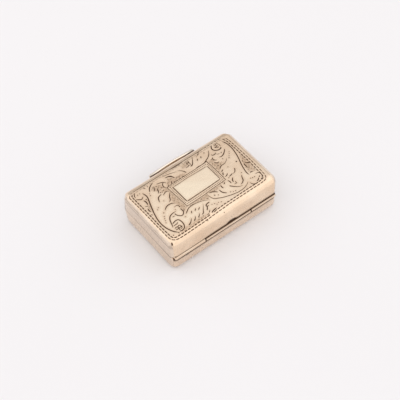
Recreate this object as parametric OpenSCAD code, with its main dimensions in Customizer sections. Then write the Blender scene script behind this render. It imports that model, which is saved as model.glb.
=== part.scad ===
// Vinaigrette: a small hinged box whose pierced inner grille holds a sponge in the base.
// Millimetres. X runs along the hinge, +Y points to the hinge, +Z is up.
// The origin is the centre of the flat underside.

/* [Box] */
// Length along the hinge
box_l = 34; // [30:0.5:40]
// Width from wall to wall, without the hinge barrel and the thumbpiece
box_w = 22; // [20:0.5:26]
// Height of the base, from the table to the parting line
base_h = 5; // [4.8:0.1:6.5]
// Height of the lid above the parting line
lid_h = 6.3; // [5.8:0.1:7.2]
// Radius of the lid's long edges
lid_edge_r = 2.4; // [1.8:0.1:2.8]
// Radius of the base's long edges
base_edge_r = 1.9; // [1.7:0.1:2.2]
// Rounding of the edges and corners at both ends
end_r = 1.5; // [1.2:0.05:1.6]
// Gap along the parting line
seam_gap = 0.08; // [0.04:0.01:0.15]

/* [Sheet] */
// Thickness of the lid's sheet
lid_wall = 0.45; // [0.35:0.05:0.5]
// Thickness of the lid's end plates
lid_end_t = 0.55; // [0.45:0.05:0.6]
// Thickness of the base's sheet, which leaves the bezel clear of the lid
base_wall = 0.55; // [0.55:0.05:0.6]
// Thickness of the base's end plates, which leave the bezel clear of the lid
base_end_t = 0.65; // [0.65:0.05:0.7]
// Gap that the solder fills between two fixed pieces
solder_gap = 0.02; // [0.01:0.01:0.03]

/* [Lid hinge] */
// Outer radius of the barrel
barrel_r = 0.85; // [0.75:0.01:0.9]
// Radius of the hinge pin
pin_r = 0.38; // [0.3:0.01:0.42]
// Radial clearance of the pin in the barrel
pin_clear = 0.04; // [0.02:0.01:0.05]
// Depth of the hinge axis behind the wall's outer face
hinge_inset = 0.6; // [0.55:0.01:0.65]
// Height of each wall's lip above or below the hinge axis
lip_h = 0.8; // [0.78:0.01:0.9]
// Clearance round a turning knuckle
barrel_clear = 0.1; // [0.06:0.01:0.12]
// Length of the middle knuckle
middle_knuckle_l = 14.7; // [10:0.1:18]
// Shift of the middle knuckle along the hinge
middle_knuckle_shift = -0.7; // [-1.5:0.1:1.5]
// Gap between neighbouring knuckles
knuckle_gap = 0.12; // [0.08:0.01:0.2]
// Distance of the barrel's ends inside the box's ends
barrel_end_inset = 0.6; // [0.5:0.05:0.7]
// Radius of the relief round the hinge axis at the corners past the barrel
corner_relief_r = 0.45; // [0.42:0.01:0.55]
// Rounding of the barrel's ends
barrel_end_r = 0.35; // [0.1:0.05:0.35]
// Length of the plug in each end of the barrel
plug_l = 0.8; // [0.5:0.1:1.5]
// Width of the bearers that hold the knuckles
bearer_w = 1.5; // [1.4:0.05:1.6]
// Height of each bearer from the parting line
bearer_h = 1.6; // [1.4:0.05:1.8]

/* [Thumbpiece] */
// Length along the lid's wall
thumb_l = 14.6; // [10:0.1:18]
// Shift of the thumbpiece along the wall
thumb_shift = -0.4; // [-1.5:0.1:1.5]
// Reach out of the wall, at its middle
thumb_reach = 2.9; // [2.6:0.1:3.6]
// Radius of its bowed front edge
thumb_bow_r = 22; // [18:1:60]
// Height of its underside above the parting line, at the middle of the wall
thumb_z = 0.35; // [0.2:0.05:0.6]
// Rise of its plate from the wall to the lip
thumb_rise = 1.4; // [1:0.1:1.8]
// Thickness of its plate
thumb_t = 0.7; // [0.5:0.05:0.9]
// Radius of the raised lip along its front edge
thumb_lip_r = 0.45; // [0.35:0.05:0.5]
// Rounding of its two corners, at most its reach
thumb_corner_r = 2.2; // [1.6:0.1:2.3]

/* [Bezel and ledge] */
// Thickness of the bezel
bezel_t = 0.4; // [0.3:0.05:0.5]
// Height of the bezel above the parting line
bezel_rise = 0.9; // [0.5:0.05:1.2]
// Depth of the bezel below the parting line
bezel_depth = 1.7; // [1.5:0.05:1.9]
// Distance from the bezel's open ends to the hinge bearer
bezel_end_gap = 1.5; // [1.3:0.1:2.5]
// Width of the ledge under the grille
seat_w = 0.9; // [0.6:0.05:1.1]
// Thickness of the ledge
seat_t = 0.55; // [0.4:0.05:0.6]

/* [Grille] */
// Thickness of the grille plate
grille_t = 0.45; // [0.35:0.05:0.5]
// Gap between the grille and the bezel
grille_gap = 0.15; // [0.1:0.01:0.2]
// Gap between the grille and its ledge
grille_rest_gap = 0.02; // [0.01:0.01:0.03]
// Outer radius of the grille's knuckles
grille_barrel_r = 0.5; // [0.45:0.01:0.55]
// Radius of the grille's hinge pin
grille_pin_r = 0.2; // [0.18:0.01:0.25]
// Distance of the grille's hinge axis in front of the bearer
grille_axis_gap = 0.7; // [0.65:0.05:0.9]
// Length of the grille's moving knuckle
grille_middle_l = 10; // [6:0.5:12]
// Length of each fixed knuckle
grille_side_l = 5; // [3:0.5:6]
// Clearance of the plate's back edge round the fixed knuckles
grille_knuckle_clear = 0.15; // [0.1:0.01:0.2]
// Radius of the fingernail notch in the front edge
notch_r = 0.75; // [0.6:0.05:0.8]

/* [Piercing] */
// Width of the plain border outside the drilled row
border_w = 1.15; // [1:0.05:1.5]
// Radius of the drilled holes
drill_r = 0.32; // [0.25:0.01:0.4]
// Number of drilled holes along each long side
drill_count_l = 20; // [14:2:22]
// Number of drilled holes along each short side
drill_count_w = 11; // [7:2:11]
// Length of a pierced leaf, as a share of the pierced field
leaf_share = 0.31; // [0.25:0.01:0.32]
// Width of a pierced leaf, as a share of the pierced field
leaf_w_share = 0.1; // [0.07:0.01:0.11]
// Radius of a pierced scroll, as a share of the pierced field
scroll_share = 0.37; // [0.28:0.01:0.38]
// Number of leaves in the middle rosette
rosette_leaves = 8; // [6:1:10]

/* [Sponge] */
// Gap between the sponge and the walls round it
sponge_gap = 0.8; // [0.5:0.1:1.5]
// Gap between the sponge and the ledge above it
sponge_top_gap = 0.25; // [0.1:0.05:0.5]
// Rounding of the sponge's edges
sponge_r = 1.2; // [0.6:0.1:1.4]

/* [Hidden] */
$fn = 64;
// Facets of a full circle as wide as the thumbpiece's bow
bow_fn = 720;
gilt = [0.86, 0.70, 0.58];
gilt_dark = [0.72, 0.56, 0.44];
gilt_bright = [0.92, 0.78, 0.62];
sponge_colour = [0.84, 0.72, 0.48];
// Overrun of a cutting tool past the face that it cuts
over = 1;

half_l = box_l / 2;
half_w = box_w / 2;

// Centres of the long edges' roundings, the lid's height above the parting line
lid_edge_y = half_w - lid_edge_r;
lid_edge_z = lid_h - lid_edge_r;
base_edge_y = half_w - base_edge_r;

hinge_y = half_w - hinge_inset;
bore_r = pin_r + pin_clear;
barrel_half_l = half_l - barrel_end_inset;
room_half_l = barrel_half_l + barrel_clear;
middle_left = middle_knuckle_shift - middle_knuckle_l / 2;
middle_right = middle_knuckle_shift + middle_knuckle_l / 2;
bearer_y = half_w - base_wall - bearer_w;

// Stretches of the barrel, with the gaps between knuckles given to the turning ones
middle_span = [[middle_left, middle_right]];
side_spans = [
  [-half_l - over, middle_left - knuckle_gap],
  [middle_right + knuckle_gap, half_l + over]
];
wide_middle_span = [[middle_left - knuckle_gap, middle_right + knuckle_gap]];
wide_side_spans = [[-half_l - over, middle_left], [middle_right, half_l + over]];
function other_spans(own) = len(own) == 1 ? wide_side_spans : wide_middle_span;

bezel_y = half_w - base_wall;
bezel_x = half_l - base_end_t;
bezel_back = bearer_y - bezel_end_gap;

grille_half_l = bezel_x - bezel_t - grille_gap;
grille_front = -(bezel_y - bezel_t - grille_gap);
grille_y = bearer_y - grille_axis_gap;
grille_z = base_h - grille_t / 2;
grille_bore_r = grille_pin_r + pin_clear;
seat_z = base_h - grille_t - grille_rest_gap - seat_t;

// Field of the piercing: its half sizes and its middle
field_x = grille_half_l - border_w;
field_back = grille_y - grille_barrel_r - grille_knuckle_clear - border_w;
field_front = grille_front + border_w;
field_y = (field_back - field_front) / 2;
field_mid = (field_back + field_front) / 2;
field_size = min(field_y, field_x / 2);
leaf_l = leaf_share * field_size;
leaf_w = leaf_w_share * field_size;
scroll_r = scroll_share * field_size;

// Turns X, Y, Z into Y, Z, X
module along_x() rotate([90, 0, 90]) children();

// Strip of the given depth, round at its two outer corners, flat on its inner side
module round_ended_strip(depth, half_len, round_r) {
  if (round_r > 0) {
    translate([0, -half_len]) square([depth - round_r, 2 * half_len]);
    translate([0, round_r - half_len]) square([depth, 2 * (half_len - round_r)]);
    for (end = [-1, 1]) translate([depth - round_r, end * (half_len - round_r)]) intersection() {
      circle(round_r);
      translate([0, end < 0 ? -round_r : 0]) square(round_r);
    }
  } else {
    translate([0, -half_len]) square([depth, 2 * half_len]);
  }
}

// Lid block over the parting plane: straight walls, round upper edges and a flat top
module lid_form(inset, half_len, round_r, bottom) {
  depth = lid_edge_r - inset;
  translate([0, 0, base_h]) {
    for (side = [0, 1]) mirror([0, side, 0]) {
      translate([0, lid_edge_y, bottom]) linear_extrude(lid_edge_z - bottom)
        rotate(90) round_ended_strip(depth, half_len, round_r);
      translate([0, lid_edge_y, lid_edge_z]) along_x()
        rotate_extrude(angle = 90) round_ended_strip(depth, half_len, round_r);
    }
    translate([0, lid_edge_y, lid_edge_z]) rotate([0, -90, 90])
      linear_extrude(2 * lid_edge_y) round_ended_strip(depth, half_len, round_r);
    translate([-half_len, -lid_edge_y, bottom])
      cube([2 * half_len, 2 * lid_edge_y, lid_edge_z - bottom]);
  }
}

// Base block under the given height: straight walls, round lower edges and a flat underside
module base_form(inset, half_len, round_r, top) {
  depth = base_edge_r - inset;
  for (side = [0, 1]) mirror([0, side, 0]) translate([0, base_edge_y, base_edge_r]) {
    linear_extrude(top - base_edge_r) rotate(90) round_ended_strip(depth, half_len, round_r);
    along_x() rotate(-90) rotate_extrude(angle = 90) round_ended_strip(depth, half_len, round_r);
  }
  translate([0, -base_edge_y, base_edge_r]) rotate([0, 90, 90])
    linear_extrude(2 * base_edge_y) round_ended_strip(depth, half_len, round_r);
  translate([-half_len, -base_edge_y, base_edge_r])
    cube([2 * half_len, 2 * base_edge_y, top - base_edge_r]);
}

// Round bar along the hinge's direction, through the given axis
module bar_x(radius, from_x, to_x, axis_y, axis_z) {
  translate([from_x, axis_y, axis_z]) rotate([0, 90, 0]) cylinder(h = to_x - from_x, r = radius);
}

// Tube along the hinge's direction
module tube_x(radius, hole_r, from_x, to_x, axis_y, axis_z) {
  difference() {
    bar_x(radius, from_x, to_x, axis_y, axis_z);
    bar_x(hole_r, from_x - over, to_x + over, axis_y, axis_z);
  }
}

// Space that the barrel needs, and at the corners past it the space in which the lid's edge turns
module hinge_room() {
  bar_x(barrel_r + barrel_clear, -room_half_l, room_half_l, hinge_y, base_h);
  bar_x(corner_relief_r, -half_l - over, half_l + over, hinge_y, base_h);
}

// Space that the barrel and its lips need in a wall; up is 1 in the lid and -1 in the base
module barrel_room(up) {
  hinge_room();
  translate([-room_half_l, hinge_y, up > 0 ? base_h - over : base_h - lip_h])
    cube([2 * room_half_l, hinge_inset + over, lip_h + over]);
}

// Plate that closes one end of a trough of the given inner height; side is -1 at the left
module end_slab(side, thickness, height) {
  translate([side > 0 ? half_l - thickness : -half_l - over, -half_w, 0])
    cube([thickness + over, box_w, height]);
}

module base_pan() {
  color(gilt) difference() {
    base_form(0, half_l, end_r, base_h);
    base_form(base_wall, half_l + over, 0, base_h + over);
    barrel_room(-1);
  }
}

module base_end(side) {
  color(gilt) difference() {
    intersection() {
      base_form(0, half_l, end_r, base_h);
      base_form(base_wall + solder_gap, half_l + over, 0, base_h);
      end_slab(side, base_end_t, base_h);
    }
    hinge_room();
  }
}

module base_end_left() base_end(-1);

module base_end_right() base_end(1);

module lid_cover() {
  color(gilt) difference() {
    lid_form(0, half_l, end_r, seam_gap);
    lid_form(lid_wall, half_l + over, 0, -over);
    barrel_room(1);
  }
}

module lid_end(side) {
  color(gilt) difference() {
    intersection() {
      lid_form(0, half_l, end_r, seam_gap);
      lid_form(lid_wall + solder_gap, half_l + over, 0, 0);
      end_slab(side, lid_end_t, base_h + lid_h);
    }
    hinge_room();
  }
}

module lid_end_left() lid_end(-1);

module lid_end_right() lid_end(1);

// Strip let into a long wall, hollowed to hold its own knuckles and to clear the others
module bearer(half_len, back_y, bottom, top, own) {
  difference() {
    translate([-half_len, bearer_y, bottom]) cube([2 * half_len, back_y - bearer_y, top - bottom]);
    for (span = own) bar_x(barrel_r + solder_gap, span[0], span[1], hinge_y, base_h);
    for (span = other_spans(own)) bar_x(barrel_r + barrel_clear, span[0], span[1], hinge_y, base_h);
  }
}

module base_hinge_bearer() {
  color(gilt_dark) bearer(half_l - base_end_t - solder_gap, half_w - base_wall,
    base_h - bearer_h, base_h, middle_span);
}

module lid_hinge_bearer() {
  color(gilt_dark) bearer(half_l - lid_end_t - solder_gap, half_w - lid_wall,
    base_h + seam_gap, base_h + bearer_h, side_spans);
}

module base_knuckle() {
  color(gilt_bright) tube_x(barrel_r, bore_r, middle_left, middle_right, hinge_y, base_h);
}

// End knuckle of the lid's hinge, from the middle knuckle to its rounded outer end
module lid_knuckle(length) {
  rotate_extrude() difference() {
    union() {
      square([barrel_r - barrel_end_r, length]);
      square([barrel_r, length - barrel_end_r]);
      translate([barrel_r - barrel_end_r, length - barrel_end_r]) circle(barrel_end_r);
    }
    translate([0, -over]) square([bore_r, length + 2 * over]);
  }
}

module lid_knuckle_left() {
  start = middle_left - knuckle_gap;
  color(gilt_bright) translate([start, hinge_y, base_h]) rotate([0, -90, 0])
    lid_knuckle(barrel_half_l + start);
}

module lid_knuckle_right() {
  start = middle_right + knuckle_gap;
  color(gilt_bright) translate([start, hinge_y, base_h]) rotate([0, 90, 0])
    lid_knuckle(barrel_half_l - start);
}

module hinge_pin() {
  pin_half_l = barrel_half_l - plug_l - knuckle_gap;
  color(gilt_dark) bar_x(pin_r, -pin_half_l, pin_half_l, hinge_y, base_h);
}

module pin_plug_left() {
  color(gilt_bright) bar_x(bore_r - solder_gap, -barrel_half_l, plug_l - barrel_half_l, hinge_y, base_h);
}

module pin_plug_right() {
  color(gilt_bright) bar_x(bore_r - solder_gap, barrel_half_l - plug_l, barrel_half_l, hinge_y, base_h);
}

// Bowed plate that rises from the lid's front wall to a round lip
module thumbpiece() {
  bow_y = thumb_bow_r - half_w - thumb_reach;
  lip_at = thumb_bow_r - thumb_lip_r;
  root_at = thumb_bow_r - thumb_reach - over;
  root_z = -thumb_rise * over / (thumb_reach - thumb_lip_r);
  height = thumb_rise + 2 * (thumb_t + thumb_lip_r);
  color(gilt_bright) translate([thumb_shift, 0, base_h + thumb_z]) intersection() {
    translate([0, bow_y, 0]) rotate_extrude($fn = bow_fn) {
      polygon([
        [root_at, root_z], [lip_at, thumb_rise],
        [lip_at, thumb_rise + thumb_t], [root_at, root_z + thumb_t]
      ]);
      translate([lip_at, thumb_rise + thumb_t]) circle(thumb_lip_r);
    }
    translate([-thumb_l / 2, -half_w - thumb_reach - over, -thumb_lip_r])
      cube([thumb_l, thumb_reach + over, height]);
    translate([0, -half_w, -thumb_lip_r]) linear_extrude(height)
      round_rectangle(thumb_l, 2 * thumb_reach, min(thumb_corner_r, thumb_reach));
  }
}

// Three-sided outline, open towards the hinge: outer half sizes and the width of the strip
module open_frame(outer_x, outer_y, width) {
  difference() {
    translate([-outer_x, -outer_y]) square([2 * outer_x, outer_y + bezel_back]);
    translate([width - outer_x, width - outer_y])
      square([2 * (outer_x - width), outer_y + bezel_back]);
  }
}

module base_bezel() {
  color(gilt_bright) translate([0, 0, base_h - bezel_depth]) linear_extrude(bezel_depth + bezel_rise)
    open_frame(bezel_x, bezel_y, bezel_t);
}

module grille_seat() {
  color(gilt_dark) translate([0, 0, seat_z]) linear_extrude(seat_t)
    open_frame(bezel_x - bezel_t, bezel_y - bezel_t, seat_w);
}

// Fixed knuckle with its foot on the bearer
module grille_side_knuckle(from_x) {
  color(gilt_dark) difference() {
    union() {
      bar_x(grille_barrel_r, from_x, from_x + grille_side_l, grille_y, grille_z);
      translate([from_x, grille_y, grille_z - grille_barrel_r / 2])
        cube([grille_side_l, grille_axis_gap, grille_barrel_r]);
    }
    bar_x(grille_bore_r, from_x - over, from_x + grille_side_l + over, grille_y, grille_z);
  }
}

module grille_knuckle_left() grille_side_knuckle(-grille_middle_l / 2 - knuckle_gap - grille_side_l);

module grille_knuckle_right() grille_side_knuckle(grille_middle_l / 2 + knuckle_gap);

module grille_knuckle_middle() {
  color(gilt_bright)
    tube_x(grille_barrel_r, grille_bore_r, -grille_middle_l / 2, grille_middle_l / 2, grille_y, grille_z);
}

module grille_pin() {
  pin_half_l = grille_middle_l / 2 + knuckle_gap + grille_side_l;
  color(gilt_dark) bar_x(grille_pin_r, -pin_half_l, pin_half_l, grille_y, grille_z);
}

// Pointed leaf between two arcs, along X
module leaf(length, width) {
  arc_r = (length ^ 2 + width ^ 2) / (4 * width);
  intersection_for(side = [-1, 1]) translate([0, side * (arc_r - width / 2)]) circle(arc_r);
}

// Fan of leaves round one point, its middle leaf along X
module leaf_fan(count, spread, start_r, length) {
  for (i = [0 : count - 1]) rotate(spread * (i / (count - 1) - 0.5))
    translate([start_r + length / 2, 0]) leaf(length, leaf_w);
}

// Crescent with its thickest place on the left, tapering to two points
module crescent(radius) {
  thick = 0.36 * radius;
  difference() {
    circle(radius);
    translate([0.72 * thick, 0]) circle(radius - 0.28 * thick);
  }
}

// Scroll that winds in: a large crescent, a small one turned against it, and an eye
module scroll() {
  crescent(scroll_r);
  translate([0.26 * scroll_r, 0]) rotate(150) crescent(0.56 * scroll_r);
  translate([0.26 * scroll_r, 0]) circle(1.2 * drill_r);
}

// Evenly spaced place on a run of holes; the first is number 0
function place(length, count, i) = length * (i / (count - 1) - 0.5);

// Drilled row along the field's border
module drilled_border() {
  for (i = [0 : drill_count_l - 1], side = [-1, 1])
    translate([place(2 * field_x, drill_count_l, i), side * field_y]) circle(drill_r, $fn = 24);
  for (i = [1 : drill_count_w - 2], side = [-1, 1])
    translate([side * field_x, place(2 * field_y, drill_count_w, i)]) circle(drill_r, $fn = 24);
}

// One quarter of the scrolls and leaves, in the field's own middle frame
module piercing_quarter() {
  scroll_x = 0.58 * field_x;
  scroll_y = 0.46 * field_y;
  translate([scroll_x, scroll_y]) rotate(215) scroll();
  translate([scroll_x + 0.9 * scroll_r, scroll_y + 0.42 * scroll_r]) rotate(22)
    leaf_fan(3, 84, 0.15 * leaf_l, leaf_l);
  translate([scroll_x - 1.42 * scroll_r, scroll_y + 0.5 * scroll_r]) rotate(66) {
    circle(drill_r);
    leaf_fan(3, 104, 2 * drill_r, 0.62 * leaf_l);
  }
}

// Scroll-and-leaf piercing about a rosette, inside a drilled border
module piercing() {
  translate([0, field_mid]) {
    drilled_border();
    circle(0.2 * leaf_l);
    leaf_fan(rosette_leaves, 360 * (1 - 1 / rosette_leaves), 0.32 * leaf_l, leaf_l);
    for (side = [0, 1], end = [0, 1]) mirror([end, 0]) mirror([0, side]) piercing_quarter();
    for (side = [0, 180]) rotate(side) {
      translate([0, 0.5 * field_y]) rotate(90) leaf_fan(5, 130, 0.18 * leaf_l, leaf_l);
      translate([0.31 * field_x, 0]) leaf(0.8 * leaf_l, leaf_w);
      translate([0.71 * field_x, 0]) leaf_fan(3, 70, 0.3 * leaf_l, leaf_l);
    }
  }
}

module grille_plate() {
  color(gilt_bright) difference() {
    translate([0, 0, base_h - grille_t]) linear_extrude(grille_t) difference() {
      translate([-grille_half_l, grille_front]) square([2 * grille_half_l, grille_y - grille_front]);
      translate([0, grille_front]) circle(notch_r);
      piercing();
    }
    bar_x(grille_barrel_r + solder_gap, -grille_middle_l / 2, grille_middle_l / 2, grille_y, grille_z);
    for (side = [0, 1]) mirror([side, 0, 0])
      bar_x(grille_barrel_r + grille_knuckle_clear, grille_middle_l / 2, half_l, grille_y, grille_z);
  }
}

// Soft block on the base's floor, rounded on every edge
module sponge() {
  front = sponge_gap - bezel_y;
  width = grille_y - grille_barrel_r - sponge_gap - front;
  bottom = base_wall;
  height = seat_z - sponge_top_gap - bottom;
  half_len = bezel_x - sponge_gap;
  color(sponge_colour) translate([0, front + width / 2, bottom + height / 2]) intersection() {
    linear_extrude(height, center = true) round_rectangle(2 * half_len, width, sponge_r);
    along_x() linear_extrude(2 * half_len, center = true) round_rectangle(width, height, sponge_r);
    rotate([90, 0, 0]) linear_extrude(width, center = true) round_rectangle(2 * half_len, height, sponge_r);
  }
}

module round_rectangle(length, width, corner_r) {
  square([length - 2 * corner_r, width], center = true);
  square([length, width - 2 * corner_r], center = true);
  for (x = [-1, 1], y = [-1, 1])
    translate([x * (length / 2 - corner_r), y * (width / 2 - corner_r)]) circle(corner_r);
}

base_pan();
base_end_left();
base_end_right();
base_bezel();
grille_seat();
base_hinge_bearer();
base_knuckle();
hinge_pin();
grille_knuckle_left();
grille_knuckle_right();
grille_pin();
sponge();
lid_cover();
lid_end_left();
lid_end_right();
thumbpiece();
lid_hinge_bearer();
lid_knuckle_left();
lid_knuckle_right();
pin_plug_left();
pin_plug_right();
grille_plate();
grille_knuckle_middle();
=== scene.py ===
import math

import bpy
import numpy as np
from mathutils import Matrix, Vector
from mathutils.kdtree import KDTree


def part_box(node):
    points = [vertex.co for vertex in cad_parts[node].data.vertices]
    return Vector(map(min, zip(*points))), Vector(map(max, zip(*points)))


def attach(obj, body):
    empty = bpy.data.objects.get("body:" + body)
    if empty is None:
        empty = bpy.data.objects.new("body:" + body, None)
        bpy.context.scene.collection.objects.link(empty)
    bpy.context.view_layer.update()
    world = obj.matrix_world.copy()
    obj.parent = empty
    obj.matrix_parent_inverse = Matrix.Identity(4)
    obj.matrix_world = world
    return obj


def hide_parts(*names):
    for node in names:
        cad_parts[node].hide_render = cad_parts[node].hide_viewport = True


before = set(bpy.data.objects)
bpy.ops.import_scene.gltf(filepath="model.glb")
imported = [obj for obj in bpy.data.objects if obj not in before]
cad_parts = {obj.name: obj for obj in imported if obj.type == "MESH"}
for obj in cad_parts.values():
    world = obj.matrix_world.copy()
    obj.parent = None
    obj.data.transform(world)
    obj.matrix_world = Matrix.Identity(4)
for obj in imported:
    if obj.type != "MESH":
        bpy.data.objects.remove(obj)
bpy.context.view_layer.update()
scene = bpy.context.scene

# Pieces are shaped in millimetres and brought to metres when they are finished
MM = 0.001

# Sizes that follow the part's source, in millimetres
HALF_L = 17.0
HALF_W = 11.0
PARTING = 5.0
LID_FOOT = 5.08
LID_TOP = 11.3
LID_EDGE_R = 2.4
BASE_EDGE_R = 1.9
END_R = 1.5
END_START = HALF_L - END_R
BASE_WALL = 0.55
HINGE_Y = 10.4
LIP = 0.8
BARREL_R = 0.85
BORE_R = 0.42
BARREL_END = 16.4
ROOM_END = 16.5
CORNER_RELIEF = 0.43
MIDDLE_LEFT, MIDDLE_RIGHT = -8.05, 6.65
KNUCKLE_GAP = 0.12
THUMB_BOW_R = 22.0
THUMB_REACH = 2.9
THUMB_SHIFT = -0.4
THUMB_HALF_L = 7.3

# Shoulder of the lid's ends as photographed: a rounding, a bevel and a soft edge, over a leaning wall
SHOULDER_START = 15.95
SHOULDER_R = 1.1
SHOULDER_RIM = 0.28
BEVEL_ANGLE = math.radians(42)
BEVEL_PASSED = math.radians(50)
BEVEL_L = 0.50
BEVEL_EDGE_R = 0.45

# Upright corners in plan: the lid's before they are eased, then as photographed on the far and the hinge side
LID_CORNER_R = 1.3
FAR_CORNER_R = 2.6
HINGE_CORNER_R = 1.7
# Height off the parting line from which that rounding grows, and the height over which it grows
TIGHT_HEIGHT = 0.6
EASED_HEIGHT = 3.2

# Straight lip of the thumbpiece as photographed: its reach at the middle, and how far its ends draw back
LIP_REACH = 2.55
LIP_BOW = 0.25

# Camera of the photograph: its direction from the box, its distance in metres, its roll and its lens
CAMERA_AZIMUTH, CAMERA_ELEVATION = math.radians(144.38), math.radians(52.79)
CAMERA_BACK = Vector((math.sin(CAMERA_AZIMUTH) * math.cos(CAMERA_ELEVATION),
                      -math.cos(CAMERA_AZIMUTH) * math.cos(CAMERA_ELEVATION), math.sin(CAMERA_ELEVATION)))
CAMERA_DISTANCE = 0.33287
CAMERA_ROLL = math.radians(-2.69)
CAMERA_LENS, CAMERA_SENSOR = 114.76, 36.0


# Handling of pieces
def deselect():
    for thing in bpy.context.selected_objects:
        thing.select_set(False)


def take(piece):
    deselect()
    piece.select_set(True)
    bpy.context.view_layer.objects.active = piece
    return piece


def edit(kind="VERT"):
    scene.tool_settings.mesh_select_mode = [kind == name for name in ("VERT", "EDGE", "FACE")]
    bpy.ops.object.mode_set(mode="EDIT")


def leave_edit():
    bpy.ops.object.mode_set(mode="OBJECT")


def just_added(name):
    """The piece that was just added, under its name, with its place, turn and size taken into its points."""
    piece = bpy.context.object
    piece.name = piece.data.name = name
    bpy.ops.object.transform_apply(location=True, rotation=True, scale=True)
    return piece


def points_of(piece):
    flat = np.empty(len(piece.data.vertices) * 3)
    piece.data.vertices.foreach_get("co", flat)
    return flat.reshape(-1, 3)


def set_points(piece, points):
    piece.data.vertices.foreach_set("co", np.asarray(points, np.float32).ravel())
    piece.data.update()


def edge_ends(piece):
    """The numbers of the two points of every edge."""
    return np.array([edge.vertices[:] for edge in piece.data.edges])


def pick(piece, kind, wanted):
    """Selects only the vertices, edges or polygons whose mask is true."""
    for group in (piece.data.vertices, piece.data.edges, piece.data.polygons):
        group.foreach_set("select", np.zeros(len(group), bool))
    getattr(piece.data, kind).foreach_set("select", np.asarray(wanted, bool))


def note(piece, name, values):
    """Keeps a value between 0 and 1 at every point, for the finish to read."""
    kept = piece.data.attributes.new(name, "FLOAT", "POINT")
    kept.data.foreach_set("value", np.asarray(values, np.float32))


def apply(piece, kind, name, **settings):
    modifier = piece.modifiers.new(name, kind)
    for key, value in settings.items():
        setattr(modifier, key, value)
    take(piece)
    bpy.ops.object.modifier_apply(modifier=modifier.name)


def smooth(piece, degrees):
    take(piece)
    bpy.ops.object.shade_smooth_by_angle(angle=math.radians(degrees))


def hand_over(piece, body, slot, materials, *nodes):
    """Brings a finished piece to metres, gives it its finish and body, and hides the CAD nodes it stands in
    for.
    """
    piece.data.transform(Matrix.Scale(MM, 4))
    if not isinstance(materials, (list, tuple)):
        materials = [materials]
    piece.data.materials.clear()
    for material in materials:
        piece.data.materials.append(material)
    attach(piece, body)
    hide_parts(*nodes)


# Finishes
def fill(node, values):
    """Sets a node's inputs by their names."""
    for name, value in values.items():
        node.inputs[name].default_value = value


class Finish:
    """A material with its nodes, built up by short calls."""

    def __init__(self, name):
        self.material = bpy.data.materials.new(name)
        self.material.use_nodes = True
        self.tree = self.material.node_tree
        self.shader = self.tree.nodes["Principled BSDF"]
        self.place = self.node("ShaderNodeTexCoord").outputs["Object"]

    def node(self, kind, **settings):
        made = self.tree.nodes.new(kind)
        for key, value in settings.items():
            setattr(made, key, value)
        return made

    def link(self, source, target):
        self.tree.links.new(source, target)

    def stretched(self, scale, turn):
        mapping = self.node("ShaderNodeMapping")
        fill(mapping, {"Scale": scale, "Rotation": turn})
        self.link(self.place, mapping.inputs["Vector"])
        return mapping.outputs["Vector"]

    def split(self):
        """The place's x, y and z."""
        made = self.node("ShaderNodeSeparateXYZ")
        self.link(self.place, made.inputs["Vector"])
        return [made.outputs[axis] for axis in "XYZ"]

    def noise(self, scale, detail, rough=0.5, place=None):
        made = self.node("ShaderNodeTexNoise")
        fill(made, {"Scale": scale, "Detail": detail, "Roughness": rough})
        self.link(place or self.place, made.inputs["Vector"])
        return made.outputs["Fac"]

    def ramp(self, source, low, high, first=0.0, last=1.0):
        made = self.node("ShaderNodeMapRange", interpolation_type="SMOOTHSTEP")
        fill(made, {"From Min": low, "From Max": high, "To Min": first, "To Max": last})
        self.link(source, made.inputs["Value"])
        return made.outputs["Result"]

    def math(self, operation, a, b):
        made = self.node("ShaderNodeMath", operation=operation)
        for socket, value in zip(made.inputs, (a, b)):
            if isinstance(value, (int, float)):
                socket.default_value = value
            else:
                self.link(value, socket)
        return made.outputs["Value"]

    def distance(self, value, middle):
        """How far a value is from a middle one."""
        return self.math("ABSOLUTE", self.math("SUBTRACT", value, middle), 0.0)

    def mix(self, share, first, second):
        made = self.node("ShaderNodeMix", data_type="RGBA")
        for socket, value in ((made.inputs[6], first), (made.inputs[7], second)):
            if isinstance(value, tuple):
                socket.default_value = (*value, 1.0)
            else:
                self.link(value, socket)
        self.link(share, made.inputs["Factor"])
        return made.outputs[2]

    def attribute(self, name):
        return self.node("ShaderNodeAttribute", attribute_name=name).outputs["Fac"]

    def bump(self, height, distance, strength, normal=None):
        made = self.node("ShaderNodeBump")
        fill(made, {"Strength": strength, "Distance": distance})
        self.link(height, made.inputs["Height"])
        if normal:
            self.link(normal, made.inputs["Normal"])
        return made.outputs["Normal"]


# Colours of dirt and painted shade, of wear and painted highlight, and the heights of the parting line and of
# a painted dark reflection under the shoulder
GRIME_AND_SHADE = (0.070, 0.032, 0.014)
ROSY = (0.600, 0.410, 0.310)
RUBBED_AND_HIGHLIT = (0.968, 0.828, 0.638)
DULL = (0.515, 0.350, 0.225)
SEAM_MIDDLE = (PARTING + LID_FOOT) / 2
DARK_REFLECTION_LINE = 9.65
# Turn and stretch of three sets of rubbed hair lines
HAIR_LINES = ((0.55, (260, 5200, 900)), (-0.95, (5600, 300, 900)), (1.25, (240, 4300, 700)))
# Colours of the sponge: its two tones, and the painted shade in its holes
SPONGE_BROWN = (0.62, 0.385, 0.16)
SPONGE_PALE = (0.81, 0.575, 0.30)
SPONGE_HOLE_SHADE = (0.17, 0.085, 0.025)
# Colours of the floor
PAPER_GREY = (0.834, 0.822, 0.826)
PAPER_PALE = (0.846, 0.834, 0.838)


def seam_shade(metal):
    """Painted shade along the parting line, more of it towards the hinge."""
    _, y, z = metal.split()
    off_seam = metal.distance(z, SEAM_MIDDLE * MM)
    more = metal.ramp(y, 3.0 * MM, 8.0 * MM, 0.55, 0.9)
    return metal.math("MULTIPLY", more, metal.ramp(off_seam, 0.04 * MM, 0.18 * MM, 1.0, 0.0))


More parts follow.
